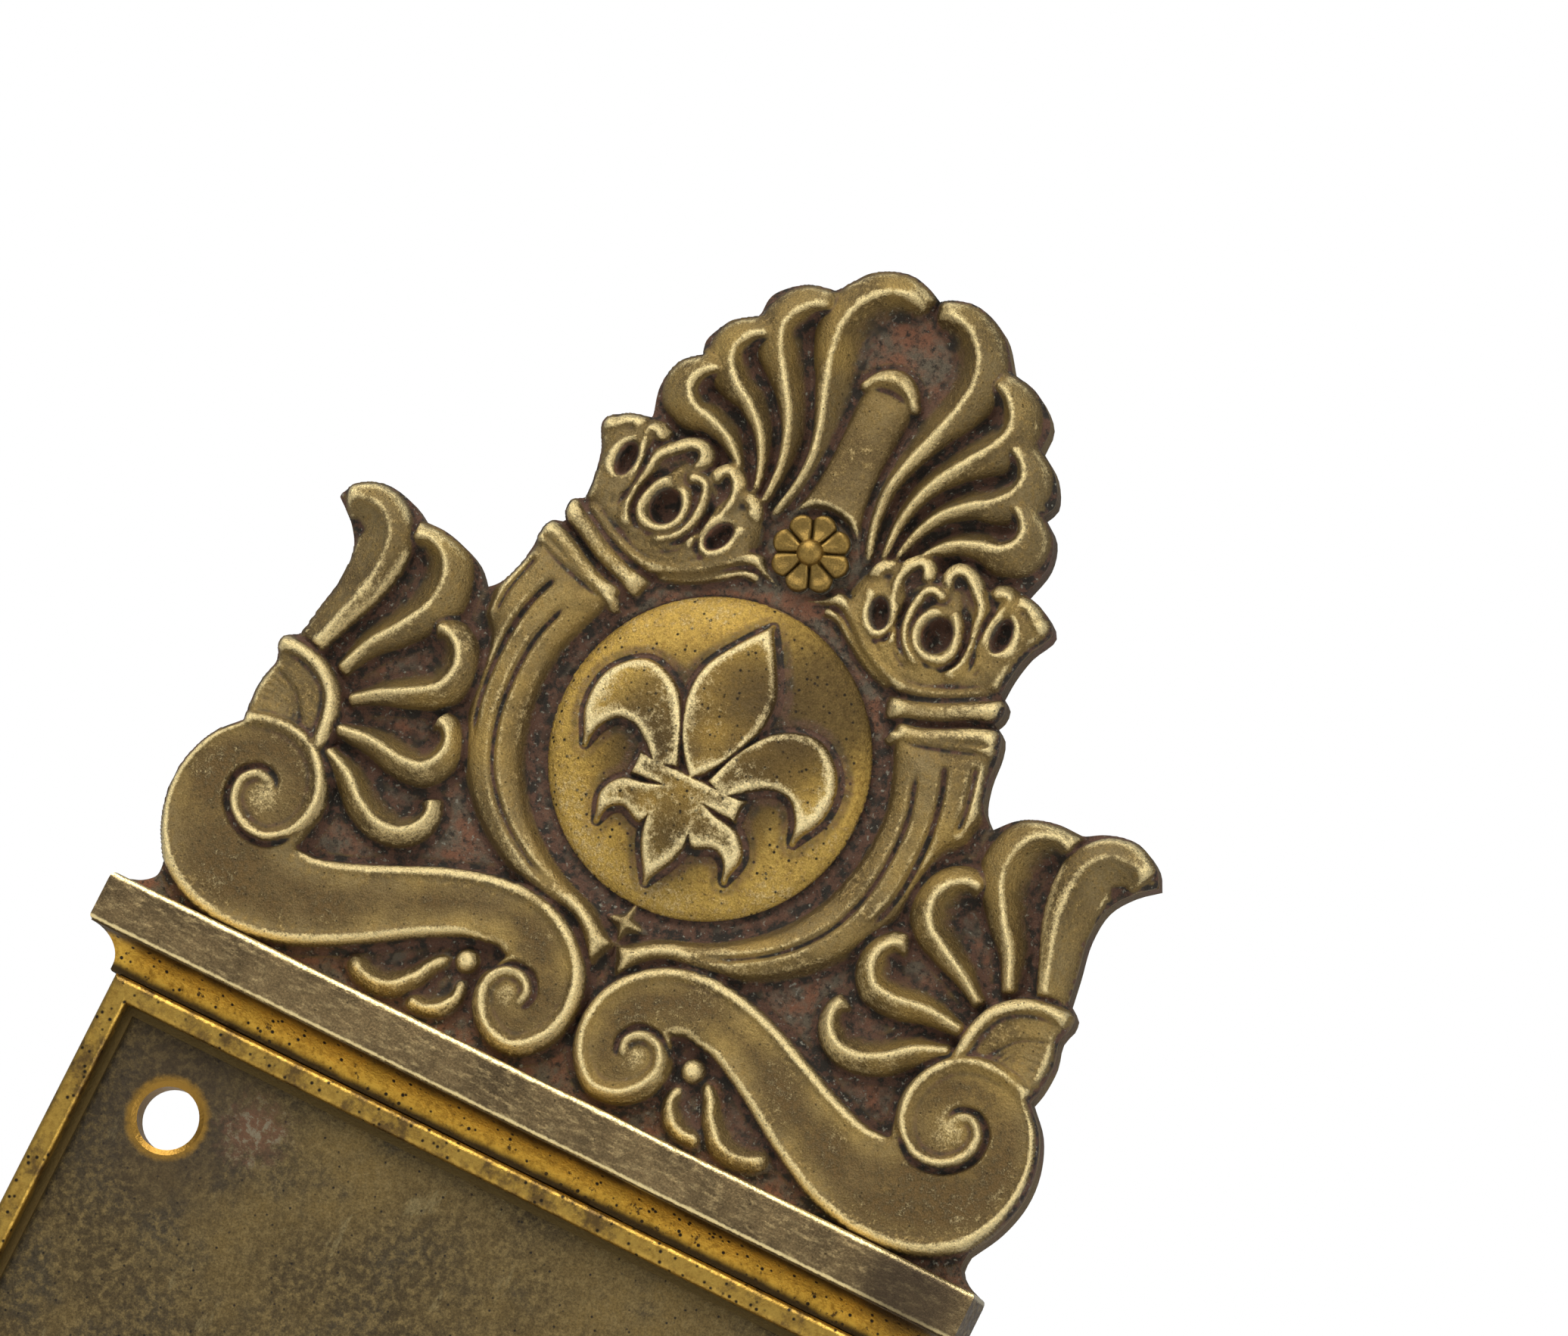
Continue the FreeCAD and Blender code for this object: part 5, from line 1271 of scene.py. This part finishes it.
def cornice_finish(name):
    """Golden cove with a painted highlight and painted shade lines, under a worn, scratched band with
    dark stains.
    """
    f = Finish(name)
    patch = f.noise(7.0, 5.0, 0.6)
    grain = f.noise(0.6, 5.0, 0.72)
    fine = f.noise(0.2, 2.0)
    streak = f.noise(0.9, 4.0, 0.65, (0.55, 1.0, 1.6))
    band = f.blend(f.span(patch, 0.35, 0.68), linear(138, 116, 80), linear(98, 82, 58))
    band = f.blend(f.span(streak, 0.46, 0.72), band, linear(178, 154, 108))
    band = f.blend(f.span(grain, 0.60, 0.72, 0.0, 0.75), band, DIRT)
    band = f.tinted(band, f.span(fine, 0.28, 0.72, 0.66, 1.15))
    level = f.from_middle()
    ragged = f.ragged(level, patch, 1.2)
    # Painted highlight: the cove's bright gold is brass colour with the light on its face painted in.
    cove = f.blend(f.span(grain, 0.40, 0.80), linear(218, 172, 68), linear(160, 118, 42))
    cove = f.blend(f.specks(0.85, 0.26, 0.14), cove, DIRT)
    cove = f.blend(f.span(f.noise(1.0, 5.0, 0.7), 0.60, 0.68), cove, linear(96, 74, 40))
    # Painted shade: a darker line at the cove's foot, and a painted shadow at its top under the band's
    # overhang.
    cove = f.blend(f.span(ragged, 106.9, 106.2), cove, linear(74, 58, 34))
    cove = f.blend(f.span(ragged, 108.3, 109.0), cove, linear(82, 64, 36))
    share = f.span(level, 109.0, 109.3)
    colour = f.blend(share, cove, band)
    edge = f.maths("MAXIMUM", f.span(level, 113.0, 113.5), f.span(level, 109.7, 109.3))
    edge = f.span(f.ragged(f.maths("MULTIPLY", edge, share), grain, 1.6), 0.35, 0.95)
    colour = f.blend(edge, colour, GOLD_PALE)
    overlay = f.distance_to(38.0, 111.4)
    overlay = f.span(f.maths("ADD", overlay, f.maths("MULTIPLY", patch, 6.0)), 9.5, 5.5)
    colour = f.blend(f.maths("MULTIPLY", overlay, 0.75), colour, linear(70, 58, 46))
    f.bump(f.maths("ADD", f.maths("MULTIPLY", streak, 0.6), f.maths("ADD", grain, fine)), 0.05, 0.9)
    return f.done(colour, 0.95, f.level(edge, f.span(grain, 0.3, 0.7, 0.34, 0.58), 0.25))


cornice_metal = cornice_finish("scratched_cornice_brass")
upper_cornice = cornice_piece("crest_cornice", 1, cornice_metal)
print("cornice: %d faces" % len(upper_cornice.data.polygons))

# %% [markdown]
# ## Back of the crest
#
# A casting this size is hollowed behind, to save metal and to make room for the nuts. The
# slab behind the relief has the same outline, a round pocket behind the roundel, a small
# one behind the rosette and a long one below them.

# %% Slab with pockets
def pocketed_slab(name, outline, pockets, thickness, finish, centre_z=DISC_Z):
    """Flat slab; each pocket is an outline and a depth, with a deeper one inside it or None."""
    bm = bmesh.new()

    def loop(points, height):
        return [bm.verts.new((x * MM, -height * MM, (z + centre_z) * MM)) for x, z in points]

    back, front = loop(outline, 0.0), loop(outline, thickness)
    wall_between(bm, back, front)
    fill_loop(bm, [front])
    mouths = [back]
    for points, depth, deeper in pockets:
        mouth, floor_loop = loop(points, 0.0), loop(points, depth)
        wall_between(bm, mouth, floor_loop)
        floors = [floor_loop]
        if deeper is not None:
            inner_mouth, inner_floor = loop(deeper[0], depth), loop(deeper[0], deeper[1])
            wall_between(bm, inner_mouth, inner_floor)
            fill_loop(bm, [inner_floor])
            floors.append(inner_mouth)
        fill_loop(bm, floors)
        mouths.append(mouth)
    fill_loop(bm, mouths)
    piece = solid(name, bm, finish)
    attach(piece, PLATE)
    return piece


right_edge = outline_of(CREST_RUNS, 0.8)
NOTCH_HALF_W, NOTCH_TOP, POCKET, NUT_POCKET = 34.1, 114.7, 1.6, 2.5
notch_z = NOTCH_TOP - DISC_Z
notch = [(43.0, CREST_LOW), (NOTCH_HALF_W, CREST_LOW), (NOTCH_HALF_W, notch_z),
         (-NOTCH_HALF_W, notch_z), (-NOTCH_HALF_W, CREST_LOW), (-43.0, CREST_LOW)]
slab_outline = np.vstack([right_edge, notch, right_edge[:0:-1] * (-1, 1)])
long_pocket = np.array([(-33.0, -29.0), (33.0, -29.0), (33.0, -17.0), (-33.0, -17.0)])
nut_pocket = (oval(0, 0, 5.2, 5.2, 0, 64), NUT_POCKET)
crest_pockets = [(oval(0, 0, 11.5, 11.5, 0, 96), POCKET, nut_pocket),
                 (oval(0, ROSETTE_Z, 5, 5, 0, 48), POCKET, None), (long_pocket, POCKET, None)]
crest_back = pocketed_slab("crest_back_slab", slab_outline, crest_pockets, SLAB, casting_back)

# %% [markdown]
# ## Rosettes
#
# A small rosette covers the joint above the roundel, and a smaller one hangs on the foot.
# Each is a ring of equal petals round a boss. One petal is shaped on its own, and a small node
# tree repeats it, so the number of petals and their reach stay easy to change. The boss is
# turned, and so is the roundel's stub.

# %% Solids of revolution and repeated pieces
def turned(name, profile, z, finish, sides=64):
    """Solid turned about a line square to the door; profile is (radius, height) points."""
    bm = bmesh.new()
    rings = []
    for radius, height in profile:
        if radius < 1e-6:
            rings.append([bm.verts.new((0.0, -height * MM, z * MM))])
            continue
        ring = []
        for k in range(sides):
            a = 2 * math.pi * k / sides
            ring.append(bm.verts.new((radius * math.sin(a) * MM, -height * MM,
                                      (z + radius * math.cos(a)) * MM)))
        rings.append(ring)
    for low, high in zip(rings[:-1], rings[1:]):
        for k in range(sides):
            n = (k + 1) % sides
            corners = [low[k % len(low)], low[n % len(low)], high[n % len(high)], high[k % len(high)]]
            bm.faces.new(list(dict.fromkeys(corners)))
    return solid(name, bm, finish, 35)


def petal_shape(reach, share):
    """One petal lying flat, its root at the origin, pointing along +Y and rising along +Z."""
    bm = bmesh.new()
    along, across = 14, 13
    top, low = [], []
    for i in range(along + 1):
        u = 0.22 + 0.78 * i / along
        grid_top, grid_low = [], []
        for j in range(across):
            v = -1.0 + 2.0 * j / (across - 1)
            tip = 1.0 - 0.17 * v * v * np.clip((u - 0.6) / 0.4, 0, 1) ** 2
            radius = reach * u * tip
            angle = v * share * (0.985 - 0.05 * abs(u - 0.7))
            lift = 0.55 * (1 - v ** 4) * math.sqrt(max(0.0, 1 - max(0.0, (u - 0.72) / 0.28) ** 3))
            dish = 0.28 * math.exp(-((u - 0.62) / 0.22) ** 2) * (1 - v * v)
            height = 1.0 + lift - dish
            place = (radius * math.sin(angle) * MM, radius * math.cos(angle) * MM)
            grid_top.append(bm.verts.new((*place, height * MM)))
            grid_low.append(bm.verts.new((*place, 0.0)))
        top.append(grid_top)
        low.append(grid_low)
    for i in range(along):
        for j in range(across - 1):
            bm.faces.new([top[i][j], top[i][j + 1], top[i + 1][j + 1], top[i + 1][j]])
            bm.faces.new([low[i][j], low[i + 1][j], low[i + 1][j + 1], low[i][j + 1]])
    rim = [(0, j) for j in range(across)] + [(i, across - 1) for i in range(1, along + 1)]
    rim += [(along, j) for j in range(across - 2, -1, -1)] + [(i, 0) for i in range(along - 1, 0, -1)]
    for (a, b), (c, d) in zip(rim, rim[1:] + rim[:1]):
        bm.faces.new([top[a][b], low[a][b], low[c][d], top[c][d]])
    return bm


def ring_tree():
    """Node tree: copies of the piece stand in a ring, square to the door, and get a finish."""
    tree = bpy.data.node_groups.new("ring_of_copies", "GeometryNodeTree")
    face = tree.interface
    for label, kind in (("Geometry", "Geometry"), ("Count", "Int"), ("Centre height", "Float"),
                        ("Seat", "Float"), ("Finish", "Material")):
        face.new_socket(label, in_out="INPUT", socket_type="NodeSocket" + kind)
    face.new_socket("Geometry", in_out="OUTPUT", socket_type="NodeSocketGeometry")
    node, link = tree.nodes.new, tree.links.new

    def maths(operation, a, b):
        """Result of one sum on two sockets, or on a socket and a number."""
        step = node("ShaderNodeMath")
        step.operation = operation
        link(a, step.inputs[0])
        if isinstance(b, float):
            step.inputs[1].default_value = b
        else:
            link(b, step.inputs[1])
        return step.outputs[0]

    given, result = node("NodeGroupInput"), node("NodeGroupOutput")
    points = node("GeometryNodePoints")
    link(given.outputs["Count"], points.inputs["Count"])
    number = node("GeometryNodeInputIndex")
    share = maths("DIVIDE", number.outputs[0], given.outputs["Count"])
    spin = node("ShaderNodeCombineXYZ")
    link(maths("MULTIPLY", share, 2 * math.pi), spin.inputs["Z"])
    turn_by = node("FunctionNodeEulerToRotation")
    link(spin.outputs[0], turn_by.inputs[0])
    copies = node("GeometryNodeInstanceOnPoints")
    link(points.outputs[0], copies.inputs["Points"])
    link(given.outputs["Geometry"], copies.inputs["Instance"])
    link(turn_by.outputs[0], copies.inputs["Rotation"])
    real = node("GeometryNodeRealizeInstances")
    link(copies.outputs[0], real.inputs[0])
    where = node("ShaderNodeCombineXYZ")
    link(maths("MULTIPLY", given.outputs["Seat"], -1.0), where.inputs["Y"])
    link(given.outputs["Centre height"], where.inputs["Z"])
    stand = node("GeometryNodeTransform")
    stand.inputs["Rotation"].default_value = (math.radians(90), 0, 0)
    link(real.outputs[0], stand.inputs["Geometry"])
    link(where.outputs[0], stand.inputs["Translation"])
    paint = node("GeometryNodeSetMaterial")
    link(stand.outputs[0], paint.inputs["Geometry"])
    link(given.outputs["Finish"], paint.inputs["Material"])
    link(paint.outputs[0], result.inputs[0])
    return tree


def grown(name, seed_bm, tree, settings, finish):
    """Runs a node tree on a small mesh and keeps the result as a plain mesh."""
    seed = bpy.data.meshes.new(name + "_seed")
    bmesh.ops.recalc_face_normals(seed_bm, faces=seed_bm.faces[:])
    seed_bm.to_mesh(seed)
    seed_bm.free()
    holder = bpy.data.objects.new(name, seed)
    bpy.context.collection.objects.link(holder)
    modifier = holder.modifiers.new("grow", "NODES")
    modifier.node_group = tree
    sockets = {item.name: item.identifier for item in tree.interface.items_tree
               if item.in_out == "INPUT"}
    for key, value in settings.items():
        modifier[sockets[key]] = value
    modifier[sockets["Finish"]] = finish
    graph = bpy.context.evaluated_depsgraph_get()
    mesh = bpy.data.meshes.new_from_object(holder.evaluated_get(graph))
    holder.modifiers.clear()
    holder.data = mesh
    mesh.name = name
    shade_smooth(mesh, 50)
    return holder


# %% Two rosettes
petal_ring = ring_tree()
SHANK_R = 1.25
BOSS_PROFILE = ((0.80, 0.0), (0.80, 0.6), (0.40, 0.9), (0.33, 1.3), (0.32, 1.7), (0.28, 2.0), (0.2, 2.25),
                (0.1, 2.38), (0.0, 2.42))


def rosette_pieces(name, node, petals, finish):
    """Ring of petals and the turned boss between them, both standing for the measured stud."""
    low, high = node_mm(node)
    z_mid, reach = 0.5 * (low[2] + high[2]), 0.5 * (high[0] - low[0])
    seat = 3.0
    ring = grown(name + "_petals", petal_shape(reach, math.pi / petals), petal_ring,
                 {"Count": petals, "Centre height": z_mid * MM, "Seat": seat * MM}, finish)
    profile = [(0, 0.1), (SHANK_R - 0.05, 0.1), (SHANK_R, 0.2), (SHANK_R, seat - 0.01)]
    profile += [(share * reach, seat + rise) for share, rise in BOSS_PROFILE]
    boss = turned(name + "_boss", profile, z_mid, finish)
    for piece in (ring, boss):
        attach(piece, PLATE)
        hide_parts(node)
    print("%s: %d petals, %.1f mm across" % (name, petals, 2 * reach))


def rosette_finish(name):
    """Golden petals with dark, dusty gaps and spots."""
    f = Finish(name)
    patch, grain, fine = f.noise(1.6, 3.0), f.noise(0.4, 4.0, 0.7), f.noise(0.16, 3.0, 0.75)
    out = f.height()
    high = f.span(f.maths("ADD", out, f.maths("MULTIPLY", patch, 0.7)), 4.1, 4.95)
    tint = f.blend(f.span(patch, 0.4, 0.62), linear(116, 94, 50), linear(82, 68, 42))
    tint = f.blend(f.maths("MULTIPLY", high, 0.6), tint, linear(176, 142, 72))
    deep = f.span(out, 4.0, 3.6)
    tint = f.blend(deep, tint, f.blend(f.span(grain, 0.4, 0.6), DIRT, BLOOM))
    tint = f.tinted(tint, f.span(fine, 0.28, 0.72, 0.65, 1.12))
    f.bump(f.maths("ADD", grain, fine), 0.04, 0.9)
    return f.done(tint, f.level(deep, 0.9, 0.3), f.level(high, 0.55, 0.38))


rosette_metal = rosette_finish("dusty_rosette_brass")
rosette_pieces("crest_rosette", "rosette_stud", 8, rosette_metal)
rosette_pieces("pendant_rosette", "pendant_stud", 6, rosette_metal)

# %% Turned stub behind the roundel
STUB_R, STUB_END = 1.98, 0.1
stub_profile = [(0, STUB_END), (STUB_R - 0.3, STUB_END), (STUB_R, STUB_END + 0.3),
                (STUB_R, ROUNDEL_SEAT + 0.1), (0, ROUNDEL_SEAT + 0.1)]
roundel_stub = turned("roundel_stub", stub_profile, DISC_Z, slot_finishes["bright_brass"])
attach(roundel_stub, PLATE)
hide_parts("roundel")
print("roundel stub: %.1f mm long" % (ROUNDEL_SEAT - STUB_END))

# %% [markdown]
# ## Foot
#
# Below the plate hangs a smaller casting in the same taste: the cornice again, upside down,
# two flat scrolls and a short drooping palmette. Its z is counted downward while it is
# drawn, and the finished relief is hung.

# %% Lay the foot
FOOT_LOW, PENDANT_Z = 136.25, 119.3
FOOT_RUNS = [
    [(43.3, CORNICE_TOP), (41.0, 114.9), (40.2, 117.0)],
    [(40.2, 117.0), (39.6, 121.6), (35.4, 125.0), (30.6, 124.6), (25.4, 121.4)],
    [(25.4, 121.4), (21.2, 121.9), (18.6, 124.8)],
    [(18.6, 124.8), (17.4, 128.4), (12.6, 129.6)],
    [(12.6, 129.6), (10.8, 133.0), (5.6, 133.4)],
    [(5.6, 133.4), (3.6, 135.8), (0.0, FOOT_LOW)],
]
foot_edge = outline_of(FOOT_RUNS)
foot_outline = outline_of(FOOT_RUNS + [[(0, FOOT_LOW), (0, CORNICE_TOP)],
                                       [(0, CORNICE_TOP), (43.3, CORNICE_TOP)]])
foot = Relief((0.0, CORNICE_TOP), (43.5, 136.3), STEP, GROUND)
foot_leaves = (
    [(2.0, 122.0), (2.6, 126.0), (3.3, 130.0), (3.0, 132.6), (1.6, 134.0), (0.2, 134.2)],
    [(3.6, 121.8), (5.4, 125.0), (8.4, 128.4), (8.9, 130.2), (7.6, 131.6), (5.6, 131.4)],
    [(5.4, 121.6), (8.6, 123.2), (12.6, 125.2), (14.2, 126.6), (13.2, 127.8), (11.2, 127.6)],
    [(7.0, 120.6), (10.4, 121.0), (14.4, 121.6), (16.2, 122.8), (15.6, 124.0), (13.8, 124.2)],
)
for line in reversed(foot_leaves):
    leaf(foot, line, (4.2, 4.9, 5.4, 5.4, 5.2), (0.6, 1.2, 1.9, 2.0, 1.4), (0.5, 1.0, 2.0, 2.2, 1.8))
foot_scroll = outline_of([
    [(39.2, 116.6), (38.9, 120.6), (36.4, 123.2), (33.0, 124.0), (29.0, 122.6), (24.6, 120.4),
     (17.6, 119.4), (9.4, 120.6)],
    [(9.4, 120.6), (7.0, 119.4), (6.8, 117.2), (8.4, 115.8)],
    [(8.4, 115.8), (16.4, 114.9), (25.0, 115.4), (28.6, 117.2), (31.6, 115.4), (36.0, 114.8),
     (39.2, 116.6)],
])
foot.plateau(foot_scroll, 4.7, GROUND, 0.9)
foot_edges = (
    ([(9.6, 120.3), (17.6, 119.1), (24.8, 120.1), (29.2, 122.2), (33.0, 123.6), (36.2, 122.9),
      (38.5, 120.4), (38.8, 117.0), (36.2, 115.2), (32.2, 115.7), (29.9, 118.2), (30.9, 120.9),
      (33.6, 121.4), (35.5, 119.8), (34.9, 118.0), (33.5, 118.3)],
     (5.0, 5.4, 5.6, 5.6, 5.5), (0.9, 0.9, 0.8, 0.5, 0.4), (1.1, 1.3, 1.4, 1.2, 1.0),
     round_fall, hollow_fall, (0.06, 0.02)),
    ([(28.0, 116.9), (24.6, 115.8), (16.4, 115.3), (9.2, 116.2), (7.6, 117.6), (8.4, 119.2),
      (10.2, 118.9), (10.4, 117.8)],
     (4.9, 5.4, 5.5, 5.4), (1.0, 1.1, 0.9), (0.9, 0.9, 0.5),
     hollow_fall, round_fall, (0.08, 0.02)),
)
for line, top, left, right, left_fall, right_fall, fade in foot_edges:
    foot.ridge(line, top, 4.2, left, right, left_fall, right_fall, fade=fade)
rosette_well(foot, PENDANT_Z, 3.2, 0.7, 1.4)
foot.earth = earth_share(foot, 3.65)
casting_skin(foot, foot_edge, 41)
foot_held = straight_edges(CORNICE_TOP, 43.2, 136.2)
foot_right = relief_mesh("foot_relief_right", foot, foot_outline, SLAB, False, foot_held, 0.0, True)
foot_left = relief_mesh("foot_relief_left", foot, foot_outline, SLAB, True, foot_held, 0.0, True)
lower_cornice = cornice_piece("foot_cornice", -1, cornice_metal)
foot_drop = outline_of(FOOT_RUNS, 0.8) * (1, -1)
foot_notch = [(-43.3, -CORNICE_TOP), (-NOTCH_HALF_W, -CORNICE_TOP), (-NOTCH_HALF_W, -NOTCH_TOP),
              (NOTCH_HALF_W, -NOTCH_TOP), (NOTCH_HALF_W, -CORNICE_TOP), (43.3, -CORNICE_TOP)]
foot_slab_outline = np.vstack([foot_drop, foot_drop[::-1] * (-1, 1), foot_notch])
foot_pocket = (oval(0, -PENDANT_Z, 4.2, 4.2, 0, 48), POCKET, None)
foot_back = pocketed_slab("foot_back_slab", foot_slab_outline, [foot_pocket], SLAB, casting_back, 0.0)
for piece in (foot_right, foot_left):
    piece.data.materials.append(aged_relief)
    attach(piece, PLATE)
for piece in (foot_right, foot_left, lower_cornice, foot_back):
    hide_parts("foot_casting")

for piece in (crest_right, crest_left, roundel_piece):
    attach(piece, PLATE)
for piece in (crest_right, crest_left, upper_cornice, crest_back):
    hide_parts("crest_header")
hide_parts("roundel")

# %% [markdown]
# ## Camera and light
#
# The camera looks at the crest from a long way off with a long lens, a little from the
# plate's right and from below, and is rolled, so the plate leans across the picture. Its
# three turns and its distance are named here. Depth of field stays off.

# %% Camera
SENSOR_WIDTH, LENS_IN_WIDTHS = 36.0, 6.7568
CAM_TILT, CAM_TURN, CAM_ROLL = math.radians(-4.879), math.radians(-12.852), math.radians(-26.656)
CAM_OFFSET = Vector((-6.0469, -8.6179, -942.70))

camera_data = bpy.data.cameras.new("camera")
camera_data.sensor_width = SENSOR_WIDTH
camera_data.lens = SENSOR_WIDTH * LENS_IN_WIDTHS
camera_data.clip_start = 0.01
camera = bpy.data.objects.new("camera", camera_data)
bpy.context.collection.objects.link(camera)
turn = (Matrix.Rotation(CAM_ROLL, 3, "Z") @ Matrix.Rotation(CAM_TILT, 3, "X")
        @ Matrix.Rotation(CAM_TURN, 3, "Y"))
face_on = Matrix.Rotation(math.radians(90), 3, "X")
place = face_on @ (turn.transposed() @ -CAM_OFFSET) * MM + Vector((0, 0, DISC_Z * MM))
camera.matrix_world = Matrix.Translation(place) @ (face_on @ turn.transposed()).to_4x4()
bpy.context.scene.camera = camera
print("camera stands %.2f m in front of the door" % -place.y)

# %% Lights, floor and surroundings
def area_light(name, position, size, power, colour=(1, 1, 1), aim=(0, 0, 0.12)):
    data = bpy.data.lights.new(name, "AREA")
    data.shape = "RECTANGLE"
    data.size, data.size_y = size
    data.energy = power
    data.color = colour
    light = bpy.data.objects.new(name, data)
    light.location = position
    light.rotation_euler = (Vector(aim) - Vector(position)).to_track_quat("-Z", "Y").to_euler()
    bpy.context.collection.objects.link(light)


area_light("key_softbox", (-0.34, -0.42, 0.66), (0.7, 0.5), 5.2, (1.0, 0.98, 0.94))
area_light("side_softbox", (0.62, -0.36, 0.30), (0.5, 0.7), 2.2, (1.0, 0.99, 0.97))
area_light("low_fill", (-0.2, -0.8, -0.25), (0.9, 0.6), 1.1, (0.95, 0.97, 1.0))

world = bpy.data.worlds.new("studio")
world.use_nodes = True
sky = world.node_tree
background = sky.nodes["Background"]
background.inputs["Color"].default_value = (0.85, 0.90, 1.0, 1)
background.inputs["Strength"].default_value = 0.38
white = sky.nodes.new("ShaderNodeBackground")
white.inputs["Color"].default_value = (1, 1, 1, 1)
choose = sky.nodes.new("ShaderNodeMixShader")
seen = sky.nodes.new("ShaderNodeLightPath")
sky.links.new(seen.outputs["Is Camera Ray"], choose.inputs["Fac"])
sky.links.new(background.outputs[0], choose.inputs[1])
sky.links.new(white.outputs[0], choose.inputs[2])
sky.links.new(choose.outputs[0], sky.nodes["World Output"].inputs["Surface"])
bpy.context.scene.world = world

floor_mesh = bpy.data.meshes.new("floor")
FLOOR_HALF = 3.0
floor_z = cad_bounds[0][2] - 0.002
floor_mesh.from_pydata([(FLOOR_HALF * a, FLOOR_HALF * b, floor_z)
                        for a, b in ((-1, -1), (1, -1), (1, 1), (-1, 1))], [], [(0, 1, 2, 3)])
floor = bpy.data.objects.new("floor", floor_mesh)
bpy.context.collection.objects.link(floor)
paper = Finish("pale_floor")
floor_tint = paper.blend(paper.noise(400.0, 2.0), (0.88, 0.88, 0.87, 1), (0.93, 0.93, 0.93, 1))
floor_mesh.materials.append(paper.done(floor_tint, 0.0, 0.85))
bpy.context.scene.view_settings.view_transform = "Standard"
